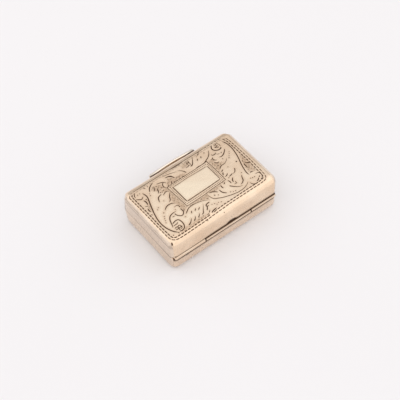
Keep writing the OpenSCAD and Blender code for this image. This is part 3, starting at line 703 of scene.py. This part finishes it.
def matting():
    """Punched dots of the matted ground: rows set off by half a step, each dot a little out of line."""
    first_row, last_row, end = -9.2, 9.0, 15.2
    rows = np.arange(first_row, last_row, MATTING_STEP)
    columns = np.arange(-end, end, MATTING_STEP)
    x, y = (v.ravel() for v in np.meshgrid(columns, rows))
    row = np.round((y - first_row) / MATTING_STEP)
    x = x + MATTING_STEP * (0.5 * (row % 2) + 0.28 * np.sin(7.1 * x + 4.3 * y))
    y = y + MATTING_STEP * 0.28 * np.sin(5.3 * x - 6.7 * y)
    radius = MATTING_R * (1.0 + 0.3 * np.sin(9.7 * x + 8.9 * y))
    return np.column_stack([x, y, radius])[inside_ground(x, y, 0.2) > 0.6]


def graver_marks():
    """Every place the graver touched: x, y and the cut's half width there."""
    runs = [(kind, width, through(points))
            for group in (STEMS, ROSETTES, LEAF_EDGES, CURLS, HATCHES, CARTOUCHE, DENTS)
            for kind, width, *points in group]
    runs += broken(OUTER_BORDER, 0.90, 0.28, 0.22) + broken(INNER_BORDER, 0.72, 0.36, 0.29)
    runs.append(("even", 0.24, through(FAR_LINE)))
    for line in FRAME_LINES:
        runs += broken(line, 0.36, 0.16, 0.22)
    for line in FRAME_BEADS:
        runs += broken(line, 0.14, 0.40, 0.24)
    marks = [np.column_stack([line, 0.5 * CUT_SPREAD * width * swelling(kind, len(line))])
             for kind, width, line in runs]
    marks += [np.array(DOTS), matting()]
    return along_sight(np.vstack(marks))


marks = graver_marks()
mark_tree = KDTree(len(marks))
for number, (mark_x, mark_y, _) in enumerate(marks):
    mark_tree.insert((mark_x, mark_y, 0.0), number)
mark_tree.balance()
WIDEST = marks[:, 2].max()


def dull_at(x, y):
    """How dull the metal is beside a cut, where a cloth doesn't reach: 1 at the cut, 0 far from it."""
    _, number, gap = mark_tree.find((x, y, 0.0))
    return max(0.0, 1.0 - max(0.0, gap - marks[number, 2]) / DULL_REACH) ** 1.5


def cut_at(x, y, margin=0.0):
    """How deep the graver went at a place, as a share of the full cut. With a margin, 1 beside a cut too."""
    deepest = 0.0
    for _, number, gap in mark_tree.find_range((x, y, 0.0), WIDEST + margin):
        half = marks[number, 2]
        if gap < half + margin:
            if margin:
                return 1.0
            deepest = max(deepest, (1.0 - (gap / half) ** 2) * min(1.0, half / FULL_CUT_HALF))
    return deepest


# Sheet shells: the lid's cover and the base's pan

# Old knock in the lid's lip over the middle knuckle: its place, half length, rise and depth
KNOCK_X, KNOCK_HALF_L = -1.85, 1.45
KNOCK_RISE, KNOCK_DEPTH = 0.40, 0.10
# Slope of the two lips beside the barrel where the ends round over
LID_LIP_RISE, BASE_LIP_DROP = 0.307, 0.27
# Where the painted shade under the barrel reaches further down, under its near end: its place and half length
BLOT_X, BLOT_HALF_L = 12.4, 0.6
# Half width of the lid that the graver reached, and the row along its far side where the cuts are rubbed pale
ENGRAVED_HALF_W = 10.8
PALE_ROW_FAR, PALE_ROW_NEAR = -8.85, -8.4
PALE_ROW_GRIME = 0.45


def bend_line(*legs):
    """Stations along a section: y, z and the outward normal. A leg is straight or an arc."""
    rows = []
    for leg in legs:
        kind, count = leg[0], leg[1]
        u = np.linspace(0, 1, count + 1)[(1 if rows else 0):]
        if kind == "straight":
            (y0, z0), (y1, z1), (ny, nz) = leg[2:]
            rows += [(y0 + (y1 - y0) * t, z0 + (z1 - z0) * t, ny, nz) for t in u]
        else:
            (cy, cz), radius, first, last = leg[2:]
            angles = np.radians(first + (last - first) * u)
            turns = [(math.cos(angle), math.sin(angle)) for angle in angles]
            rows += [(cy + radius * ny, cz + radius * nz, ny, nz) for ny, nz in turns]
    return np.array(rows)


def end_stations(start, radius, rim, steps, inside):
    """Places along the length, with the rounding at both ends down to the sheet's rim."""
    last = math.acos(1 - rim / radius)
    turn = [start + radius * math.sin(last * k / steps) for k in range(1, steps + 1)]
    return np.array([-x for x in turn[::-1]] + list(np.linspace(-start, start, inside + 1)) + turn)


def shell_sheet(name, section, lengths):
    """A flat grid whose points are still numbered by station, along the length and round the section."""
    deselect()
    bpy.ops.mesh.primitive_grid_add(x_subdivisions=len(lengths) - 1, y_subdivisions=len(section) - 1, size=2)
    piece = just_added(name)
    points = points_of(piece)
    points[:, 0] = (points[:, 0] + 1) / 2 * (len(lengths) - 1)
    points[:, 1] = (points[:, 1] + 1) / 2 * (len(section) - 1)
    set_points(piece, np.column_stack([points[:, :2], np.zeros(len(points))]))
    return piece


def turned_in(radius, past):
    """How far a rounded edge has drawn in, at a distance past where it starts to turn."""
    return radius - np.sqrt(radius ** 2 - past ** 2)


def on_section(points, section, lengths, start, radius):
    """x, y, z and inset of numbered points on the bent sheet."""
    x = np.interp(points[:, 0], np.arange(len(lengths)), lengths)
    y, z, ny, nz = (np.interp(points[:, 1], np.arange(len(section)), section[:, k]) for k in range(4))
    inset = turned_in(radius, np.maximum(np.abs(x) - start, 0))
    return x, y - ny * inset, z - nz * inset, inset


def bevelled(angle):
    """Distance past the lid's flat length, and inset, where its end shoulder has turned by an angle."""
    turned = np.minimum(angle, BEVEL_ANGLE)
    past = SHOULDER_START - END_START + SHOULDER_R * np.sin(turned)
    inset = SHOULDER_R * (1 - np.cos(turned))
    over = angle > BEVEL_PASSED
    past = past + over * (BEVEL_L + BEVEL_EDGE_R * (np.sin(angle) - np.sin(turned)))
    lower = BEVEL_L * math.tan(BEVEL_ANGLE) + BEVEL_EDGE_R * (np.cos(turned) - np.cos(angle))
    inset = inset + over * lower
    return past, inset


def leaning(x, z):
    """Draws the lid's ends in below the shoulder, so that they meet the base at the parting line."""
    widest, drop = bevelled(np.array([math.pi / 2]))
    down = np.clip((LID_TOP - drop[0] - z) / (LID_TOP - drop[0] - LID_FOOT), 0, 1)
    share = np.maximum(np.abs(x) - END_START, 0) / widest[0]
    return x - np.sign(x) * (widest[0] - END_R) * down * share


def corner_rounding(y, z):
    """Rounding of the upright corners in plan: full at the shoulders, tighter where lid and base meet."""
    away = np.clip((np.abs(z - PARTING) - TIGHT_HEIGHT) / EASED_HEIGHT, 0, 1)
    full = np.where(y < 0, FAR_CORNER_R, HINGE_CORNER_R)
    return END_R + (full - END_R) * away


def eased_corners(points, half_l, half_w, was, share):
    """Draws the upright corners in to a larger rounding in plan, less of it where a shoulder turns over."""
    x, y = points[:, 0], points[:, 1]
    share = np.maximum(share, 0.01)
    now = corner_rounding(y, points[:, 2]) * share
    gap = now - was * share
    over_x = np.abs(x) - half_l + now
    over_y = np.abs(y) - half_w + now
    corner = (over_x > 1e-6) & (over_y > 1e-6)
    out = np.where(corner, np.hypot(over_x, over_y), 1.0)
    along, across = over_x / out, over_y / out
    longer = np.where(corner, np.maximum(along, across), 1.0)
    shorter = np.where(corner, np.minimum(along, across), 0.0)
    chord = np.sqrt(np.maximum((was * share) ** 2 - (gap * (along - across)) ** 2, 0))
    on_arc = gap * (along + across) + chord
    before = np.where(shorter * now > longer * gap, on_arc, now / longer)
    drawn = np.where(corner, now / before, 1.0)
    eased = points.copy()
    eased[:, 0] = np.where(corner, np.sign(x) * (half_l - now + over_x * drawn), x)
    eased[:, 1] = np.where(corner, np.sign(y) * (half_w - now + over_y * drawn), y)
    return eased


def eased_lid(piece):
    """Eases the upright corners of a piece of the lid, which has the bevelled shoulder."""
    points = points_of(piece)
    z = points[:, 2]
    past, drop = bevelled(np.radians(np.arange(0, 91)))
    half_l = leaning(np.interp(z, LID_TOP - drop[::-1], END_START + past[::-1]), z)
    inset = turned_in(LID_EDGE_R, np.clip(z - LID_TOP + LID_EDGE_R, 0, LID_EDGE_R))
    set_points(piece, eased_corners(points, half_l, HALF_W - inset, LID_CORNER_R, 1 - inset / LID_EDGE_R))


def eased_base(piece):
    """Eases the upright corners of a piece of the base, which is rounded at its lower edges."""
    points = points_of(piece)
    z = points[:, 2]
    inset = turned_in(BASE_EDGE_R, np.clip(BASE_EDGE_R - z, 0, BASE_EDGE_R))
    end_inset = turned_in(END_R, np.clip(END_R - z, 0, END_R))
    share = 1 - inset / BASE_EDGE_R
    set_points(piece, eased_corners(points, HALF_L - end_inset, HALF_W - inset, END_R, share))


def close_shell(piece, number):
    """Joins the two end rows by the sheet's inner face and closes the long rims."""
    last = number[:, 0].max()
    at_end = (number[:, 0] < 0.01) | (number[:, 0] > last - 0.01)
    ends = edge_ends(piece)
    take(piece)
    pick(piece, "edges", at_end[ends].all(1) & (np.abs(np.diff(number[ends, 0], axis=1)[:, 0]) < 0.01))
    edit("EDGE")
    bpy.ops.mesh.bridge_edge_loops()
    bpy.ops.mesh.select_all(action="DESELECT")
    bpy.ops.mesh.select_non_manifold(extend=False, use_wire=False, use_boundary=True, use_multi_face=False,
                                     use_non_contiguous=False, use_verts=False)
    bpy.ops.mesh.fill_holes(sides=0)
    bpy.ops.mesh.select_all(action="SELECT")
    bpy.ops.mesh.normals_make_consistent(inside=False)
    leave_edit()
    for face in piece.data.polygons:
        face.material_index = int(at_end[list(face.vertices)].all())


def inside_cartouche(x, y):
    """1 on the plain panel inside the frame, fading to 0 at its line."""
    low, high = along_sight(np.array([PANEL_LOW, PANEL_HIGH]))[:, :2]
    edge = np.minimum(np.minimum(x - low[0], high[0] - x), np.minimum(y - low[1], high[1] - y))
    return np.clip(edge / PANEL_FADE, 0, 1)


def engraved_lid():
    """The lid's bent sheet with its engraving cut in, and the marks of wear, patina, painted shade and
    painted highlight that its finish reads.
    """
    edge_y = HALF_W - LID_EDGE_R
    edge_z = LID_TOP - LID_EDGE_R
    lip_z = PARTING + LIP
    section = bend_line(
        ("straight", 5, (-HALF_W, LID_FOOT), (-HALF_W, edge_z), (-1, 0)),
        ("arc", 18, (-edge_y, edge_z), LID_EDGE_R, 180, 90),
        ("straight", 87, (-edge_y, LID_TOP), (edge_y, LID_TOP), (0, 1)),
        ("arc", 18, (edge_y, edge_z), LID_EDGE_R, 90, 0),
        ("straight", 6, (HALF_W, edge_z), (HALF_W, lip_z + CREVICE), (1, 0)),
        ("straight", 1, (HALF_W, lip_z + CREVICE), (HALF_W, lip_z), (1, 0)))
    shoulder = (SHOULDER_START, SHOULDER_R)
    lengths = end_stations(*shoulder, SHOULDER_RIM, 8, 160)
    piece = shell_sheet("engraved_lid_cover", section, lengths)
    number = points_of(piece)
    x, y, _, _ = on_section(number, section, lengths, *shoulder)
    corners = [face.vertices[:] for face in piece.data.polygons]
    middles = [(x[list(c)].mean(), y[list(c)].mean()) for c in corners]
    cuts_here = [abs(my) < ENGRAVED_HALF_W and cut_at(mx, my, GRID_REACH) > 0 for mx, my in middles]
    pick(piece, "polygons", cuts_here)
    edit("FACE")
    bpy.ops.mesh.subdivide(number_cuts=2)
    leave_edit()
    number = points_of(piece)
    x, y, z, inset = on_section(number, section, lengths, *shoulder)
    # The lip over the barrel comes lower past the barrel's ends, and an old knock has lifted it at the middle
    low = np.where((y > 0) & (z < edge_z), 1 - (z - lip_z) / (edge_z - lip_z), 0)
    # Painted shade on the lid's wall just above its lip over the barrel
    reach = np.interp(x, (4.0, 8.0), (0.62, CREVICE))
    lip_shade = np.where(y > 0, np.clip((lip_z + reach - z) / reach, 0, 1), 0)
    knock = np.exp(-((x - KNOCK_X) / KNOCK_HALF_L) ** 4)
    lift = np.where(np.abs(x) < ROOM_END, LID_LIP_RISE * inset, CORNER_RELIEF - LIP)
    z = z + low * (lift + KNOCK_RISE * knock)
    y = y - low * KNOCK_DEPTH * knock
    set_points(piece, np.column_stack([leaning(x, z), y, z]))
    depth = np.array([cut_at(a, b) if c > edge_z else 0.0 for a, b, c in zip(x, y, z)])
    group = piece.vertex_groups.new(name="cuts")
    for index in np.flatnonzero(depth > 0):
        group.add([int(index)], float(depth[index]), "REPLACE")
    flat = z > LID_TOP - 0.5
    far_side = np.where((y < PALE_ROW_NEAR) & (y > PALE_ROW_FAR), PALE_ROW_GRIME, 1.0)
    # Dark mix: patina in the cuts, paler on the far row, and the painted shade above the lip
    note(piece, "grime_and_shade", np.maximum(np.clip(1.7 * depth, 0, 1) * far_side, lip_shade))
    near_cut = np.array([dull_at(a, b) if c else 0.0 for a, b, c in zip(x, y, flat)])
    beside = near_cut * (y > PALE_ROW_NEAR) * np.interp(y, (0.0, 5.0), (0.30, 0.16))
    read_x, read_y = back_along_sight(x, y)
    note(piece, "dull", np.maximum(beside, MATTED_SHARE * flat * inside_ground(read_x, read_y, 0.35)))
    # Brighter towards the hinge side and the near end, and on the front half of the plain panel: partly
    # polish from handling, partly a painted highlight where the lid faces the camera
    polish_and_highlight = np.clip(0.30 + 0.060 * y + 0.018 * x, 0, 0.85)
    polish_and_highlight = polish_and_highlight * np.interp(y, (6.5, 8.2), (1.0, 0.3)) * (1 - near_cut)
    panel = inside_cartouche(x, y) * np.interp(0.58 * x + 0.81 * y, (-1.9, -0.5), (0.65, 1.0))
    note(piece, "rubbed_and_highlit", flat * np.maximum(polish_and_highlight, panel))
    close_shell(piece, number)
    apply(piece, "DISPLACE", "graver", strength=-CUT_DEPTH, mid_level=0.0, direction="NORMAL",
          vertex_group="cuts")
    eased_lid(piece)
    smooth(piece, 50)
    hand_over(piece, "lid", "silver_gilt", [lid_gilt, inner_gilt], "lid_cover")


def plain_base():
    """The base's bent sheet, with painted shade along its lip under the barrel."""
    edge_y = HALF_W - BASE_EDGE_R
    lip_z = PARTING - LIP
    section = bend_line(
        ("straight", 6, (-HALF_W, PARTING), (-HALF_W, BASE_EDGE_R), (-1, 0)),
        ("arc", 14, (-edge_y, BASE_EDGE_R), BASE_EDGE_R, 180, 270),
        ("straight", 16, (-edge_y, 0), (edge_y, 0), (0, -1)),
        ("arc", 14, (edge_y, BASE_EDGE_R), BASE_EDGE_R, 270, 360),
        ("straight", 5, (HALF_W, BASE_EDGE_R), (HALF_W, lip_z - CREVICE), (1, 0)),
        ("straight", 1, (HALF_W, lip_z - CREVICE), (HALF_W, lip_z), (1, 0)))
    lengths = end_stations(END_START, END_R, BASE_WALL, 8, 110)
    piece = shell_sheet("plain_base_pan", section, lengths)
    number = points_of(piece)
    x, y, z, inset = on_section(number, section, lengths, END_START, END_R)
    low = np.where((y > 0) & (z > BASE_EDGE_R), (z - BASE_EDGE_R) / (lip_z - BASE_EDGE_R), 0)
    z = z - low * np.where(np.abs(x) < ROOM_END, BASE_LIP_DROP * inset, CORNER_RELIEF - LIP)
    set_points(piece, np.column_stack([x, y, z]))
    # Painted shade on the base's wall just under its lip below the barrel
    reach = np.interp(x, (5.0, 8.5), (0.38, 0.50)) + 0.40 * np.exp(-((x - BLOT_X) / BLOT_HALF_L) ** 2)
    note(piece, "grime_and_shade", np.where(y > 0, np.clip((z - lip_z + reach) / reach, 0, 1), 0))
    close_shell(piece, number)
    eased_base(piece)
    smooth(piece, 50)
    hand_over(piece, "base", "silver_gilt", [base_gilt, inner_gilt], "base_pan")


# Pieces made from copies of the CAD nodes: the angle, in degrees, from which an edge is softened
SOFT_ANGLE = 38


def softened(node, name, edge):
    """A copy of a CAD node, in millimetres, with its edges softened."""
    piece = bpy.data.objects.new(name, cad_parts[node].data.copy())
    scene.collection.objects.link(piece)
    piece.data.transform(Matrix.Scale(1 / MM, 4))
    take(piece)
    if piece.data.has_custom_normals:
        bpy.ops.mesh.customdata_custom_splitnormals_clear()
    edit()
    bpy.ops.mesh.select_all(action="SELECT")
    bpy.ops.mesh.remove_doubles(threshold=0.0008)
    bpy.ops.mesh.dissolve_limited(angle_limit=math.radians(0.6))
    leave_edit()
    apply(piece, "BEVEL", "softened", width=edge, segments=2, limit_method="ANGLE",
          angle_limit=math.radians(SOFT_ANGLE))
    smooth(piece, SOFT_ANGLE)
    return piece


def cross_cut(piece):
    """Gives an end plate rows of points where its upright corners are to turn."""
    far_rows = np.linspace(FAR_CORNER_R - HALF_W, -HALF_W, 9)[:-1]
    hinge_rows = np.linspace(HALF_W - HINGE_CORNER_R, HALF_W, 8)[:-1]
    take(piece)
    edit()
    for row in (*far_rows, *hinge_rows):
        bpy.ops.mesh.select_all(action="SELECT")
        bpy.ops.mesh.bisect(plane_co=(0, row, 0), plane_no=(0, 1, 0))
    leave_edit()


def lid_end_plate(side):
    """The CAD's end plate, its rounded rim drawn out to the bevelled shoulder."""
    piece = softened("lid_end_" + side, "lid_end_plate_" + side, 0.03)
    cross_cut(piece)
    points = points_of(piece)
    x, y, z = points.T
    outside = np.abs(x) > HALF_L - 0.5
    angle = np.arcsin(np.clip((np.abs(x) - END_START) / END_R, 0, 1))
    past, inset = bevelled(angle)
    deeper = inset - END_R * (1 - np.cos(angle))
    off_y = np.sign(y) * np.maximum(np.abs(y) - (HALF_W - LID_EDGE_R), 0)
    off_z = np.maximum(z - (LID_TOP - LID_EDGE_R), 0)
    far = np.maximum(np.hypot(off_y, off_z), 1e-6)
    points[outside, 1] -= (deeper * off_y / far)[outside]
    points[outside, 2] -= (deeper * off_z / far)[outside]
    points[outside, 0] = (np.sign(x) * (END_START + past))[outside]
    points[outside, 0] = leaning(points[outside, 0], points[outside, 2])
    set_points(piece, points)
    eased_lid(piece)
    smooth(piece, 30)
    past_bevel = outside & (angle > BEVEL_PASSED)
    bevel_edge = past_bevel & (angle < angle[past_bevel].min() + 0.02)
    pick(piece, "edges", bevel_edge[edge_ends(piece)].all(1))
    edit("EDGE")
    bpy.ops.mesh.mark_sharp()
    leave_edit()
    hand_over(piece, "lid", "silver_gilt", end_gilt, "lid_end_" + side)


def thumb_lip():
    """The CAD's thumbpiece with its bow drawn straighter."""
    piece = softened("thumbpiece", "thumb_lip", 0.05)
    points = points_of(piece)
    along = points[:, 0] - THUMB_SHIFT
    reach = THUMB_REACH - THUMB_BOW_R + np.sqrt(THUMB_BOW_R ** 2 - along ** 2)
    wanted = LIP_REACH - LIP_BOW * (along / THUMB_HALF_L) ** 2
    points[:, 1] = -HALF_W + (points[:, 1] + HALF_W) * wanted / reach
    set_points(piece, points)
    note(piece, "upper", [point.normal.z > 0.3 for point in piece.data.vertices])
    hand_over(piece, "lid", "silver_gilt", thumb_gilt, "thumbpiece")


engraved_lid()
plain_base()
for side in ("left", "right"):
    lid_end_plate(side)
thumb_lip()

# CAD nodes whose upright corners follow the base's, and all the pieces made by softening a node
CORNERED = ("base_end_left", "base_end_right", "base_bezel", "grille_seat", "grille_plate")
SOFTENED = [
    ("base_end_left", "base_end_plate_left", 0.03, "base", "silver_gilt", end_gilt),
    ("base_end_right", "base_end_plate_right", 0.03, "base", "silver_gilt", end_gilt),
    ("base_bezel", "inner_bezel", 0.06, "base", "bright_gilt", inner_gilt),
    ("grille_seat", "grille_ledge", 0.06, "base", "bright_gilt", inner_gilt),
    # The two bearers behind the barrel take the near-black finish, as painted shade
    ("base_hinge_bearer", "base_bearer", 0.05, "base", "bright_gilt", bearer_shade),
    ("lid_hinge_bearer", "lid_bearer", 0.05, "lid", "bright_gilt", bearer_shade),
    ("grille_plate", "pierced_grille", 0.045, "grille", "bright_gilt", inner_gilt),
    ("grille_knuckle_left", "grille_eye_left", 0.05, "base", "bright_gilt", inner_gilt),
    ("grille_knuckle_right", "grille_eye_right", 0.05, "base", "bright_gilt", inner_gilt),
    ("grille_knuckle_middle", "grille_eye_middle", 0.05, "grille", "bright_gilt", inner_gilt),
]
for node, name, edge, body, slot, finish in SOFTENED:
    piece = softened(node, name, edge)
    if node.startswith("base_end"):
        cross_cut(piece)
    if node in CORNERED:
        eased_base(piece)
        smooth(piece, SOFT_ANGLE)
    hand_over(piece, body, slot, finish, node)


# Barrel of the lid's hinge: rounding of its open ends and of its joints, and the dirt in a joint
OPEN_END_R, JOINT_R = 0.32, 0.16
JOINT_DIRT = 0.85
JOINT_HALF_L = 0.11


def knuckle(name, left, right, open_left, open_right, upper_shade_from, lower_shade_from):
    """A turned length of the hinge's barrel, hollowed at its ends, with rounded rims, painted shade where the
    lips overhang it, and dark joints.
    """
    deselect()
    middle = ((left + right) / 2, HINGE_Y, PARTING)
    bpy.ops.mesh.primitive_cylinder_add(vertices=56, radius=BARREL_R, depth=right - left,
                                        end_fill_type="NGON", location=middle, rotation=(0, math.pi / 2, 0))
    piece = just_added(name)
    caps = [len(face.vertices) > 4 for face in piece.data.polygons]
    pick(piece, "polygons", caps)
    edit("FACE")
    bpy.ops.mesh.inset(thickness=BARREL_R - BORE_R, use_individual=True)
    bpy.ops.mesh.inset(thickness=0.002, depth=-0.75, use_individual=True)
    leave_edit()
    for at, is_open in ((left, open_left), (right, open_right)):
        points = points_of(piece)
        radius = np.hypot(points[:, 1] - HINGE_Y, points[:, 2] - PARTING)
        rim = (np.abs(points[:, 0] - at) < 1e-4) & (radius > BARREL_R - 1e-3)
        pick(piece, "edges", rim[edge_ends(piece)].all(1))
        edit("EDGE")
        bpy.ops.mesh.bevel(offset=OPEN_END_R if is_open else JOINT_R, segments=4, affect="EDGES")
        leave_edit()
    along, _, height = (points_of(piece) - (0, HINGE_Y, PARTING)).T
    # Painted shade above and below the barrel, where the lips overhang it; the joints are dark
    lip_shade = np.clip(np.maximum(height - upper_shade_from, -height - lower_shade_from) / 0.20, 0, 1)
    joints = [at for at, is_open in ((left, open_left), (right, open_right)) if not is_open]
    in_joint = np.any([np.abs(along - at) < JOINT_HALF_L for at in joints], axis=0)
    note(piece, "grime_and_shade", np.maximum(lip_shade, JOINT_DIRT * in_joint))
    smooth(piece, 40)
    return piece


# Each length of the barrel: body and CAD node, name, its two ends, which of them are open, and the heights
# above and below which shade is painted on it
BARREL = [
    ("base", "base_knuckle", "barrel_middle", MIDDLE_LEFT, MIDDLE_RIGHT, False, False, 0.31, 0.40),
    ("lid", "lid_knuckle_left", "barrel_left", -BARREL_END, MIDDLE_LEFT - KNUCKLE_GAP,
     True, False, 0.33, 0.34),
    ("lid", "lid_knuckle_right", "barrel_right", MIDDLE_RIGHT + KNUCKLE_GAP, BARREL_END,
     False, True, 0.48, 0.18),
]
for body, node, *shape in BARREL:
    hand_over(knuckle(*shape), body, "silver_gilt", hinge_gilt, node)
for side in ("left", "right"):
    plug = softened("pin_plug_" + side, "barrel_plug_" + side, 0.08)
    hand_over(plug, "lid", "silver_gilt", hinge_gilt, "pin_plug_" + side)
for node in ("hinge_pin", "grille_pin"):
    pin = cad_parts[node]
    pin.data.materials.clear()
    pin.data.materials.append(inner_gilt)


# Sponge
def natural_sponge():
    """A soft block within the CAD sponge's box, lumpy and full of holes."""
    low, high = (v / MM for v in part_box("sponge"))
    size, centre = high - low, (low + high) / 2
    deselect()
    bpy.ops.mesh.primitive_cube_add(size=1, location=centre, scale=size - Vector((0.5, 0.5, 0.35)))
    piece = just_added("natural_sponge_pad")
    apply(piece, "BEVEL", "round", width=1.1, segments=4)
    apply(piece, "REMESH", "even", mode="VOXEL", voxel_size=0.2)
    for name, kind, scale, strength in (("lumps", "CLOUDS", 2.6, 0.30), ("hollows", "VORONOI", 1.15, 0.55),
                                        ("pores", "VORONOI", 0.5, 0.22)):
        grain = bpy.data.textures.new(name, kind)
        grain.noise_scale = scale
        apply(piece, "DISPLACE", name, texture=grain, texture_coords="LOCAL", strength=strength,
              mid_level=0.5 if kind == "CLOUDS" else 0.75)
    half = np.array(size) / 2
    set_points(piece, np.clip(points_of(piece), np.array(centre) - half, np.array(centre) + half))
    smooth(piece, 60)
    hand_over(piece, "base", "sponge", sponge_look, "sponge")


natural_sponge()


# Floor, light and camera
deselect()
bpy.ops.mesh.primitive_plane_add(size=3.0, location=(0, 0, 0))
floor = bpy.context.object
floor.name = "pale_floor"
paper = Finish("pale_paper")
shade = paper.mix(paper.ramp(paper.noise(3.0, 2.0), 0.3, 0.7), PAPER_GREY, PAPER_PALE)
paper.link(shade, paper.shader.inputs["Base Color"])
fill(paper.shader, {"Roughness": 0.9, "Specular IOR Level": 0.1})
floor.data.materials.append(paper.material)


class Room(Finish):
    """A world whose brightness is built up by the same short calls."""

    def __init__(self, name):
        self.world = bpy.data.worlds.new(name)
        self.world.use_nodes = True
        self.tree = self.world.node_tree
        self.sky = self.tree.nodes["Background"]
        self.place = self.node("ShaderNodeTexCoord").outputs["Generated"]

    def towards(self, direction, low, high):
        """Rises from 0 to 1 where the view turns to a direction."""
        facing = self.node("ShaderNodeVectorMath", operation="DOT_PRODUCT")
        facing.inputs[1].default_value = direction
        self.link(self.place, facing.inputs[0])
        return self.ramp(facing.outputs["Value"], low, high)

    def level(self, height, reach):
        """1 at a height over the horizon, 0 beyond its reach."""
        return self.ramp(self.distance(self.split()[2], height), 0.0, reach, 1.0, 0.0)


def soft_room():
    """Even white light, brighter behind the camera, darker at the far wall and low beyond the near end."""
    room = Room("soft_room")
    fill(room.sky, {"Color": (1.0, 0.985, 0.99, 1.0)})
    front = room.math("MULTIPLY", room.towards((-0.30, 0.86, 0.42), 0.20, 0.75), 0.14)
    near_end = room.math("MULTIPLY", room.towards((0.62, -0.42, 0.66), 0.80, 0.95), 0.20)
    far_wall = room.math("MULTIPLY", room.towards((-0.56, -0.78, 0.28), 0.74, 0.97), -0.45)
    light = room.math("ADD", 1.02, room.math("ADD", front, room.math("ADD", near_end, far_wall)))
    strip = room.math("MULTIPLY", room.level(0.09, 0.17), room.towards((0.871, -0.491, 0.0), 0.60, 0.90))
    room.link(room.math("MULTIPLY", light, room.math("SUBTRACT", 1.0, room.math("MULTIPLY", strip, 0.80))),
              room.sky.inputs["Strength"])
    scene.world = room.world


soft_room()

overhead = bpy.data.lights.new("overhead_box", "AREA")
overhead.shape = "SQUARE"
overhead.size = 0.90
overhead.energy = 0.30
overhead_box = bpy.data.objects.new("overhead_box", overhead)
scene.collection.objects.link(overhead_box)
overhead_box.location = (0.08, 0.20, 0.50)

level_right = Vector((0, 0, 1)).cross(CAMERA_BACK).normalized()
level_up = CAMERA_BACK.cross(level_right)
right = level_right * math.cos(CAMERA_ROLL) + level_up * math.sin(CAMERA_ROLL)
up = level_up * math.cos(CAMERA_ROLL) - level_right * math.sin(CAMERA_ROLL)
lens = bpy.data.cameras.new("photo_camera")
lens.sensor_width = CAMERA_SENSOR
lens.lens = CAMERA_LENS
lens.clip_start = 0.01
camera = bpy.data.objects.new("photo_camera", lens)
scene.collection.objects.link(camera)
camera_at = Vector((0, 0, PARTING * MM)) + CAMERA_BACK * CAMERA_DISTANCE
turn = Matrix((right, up, CAMERA_BACK)).transposed().to_4x4()
camera.matrix_world = Matrix.Translation(camera_at) @ turn
scene.camera = camera

scene.view_settings.view_transform = "Standard"
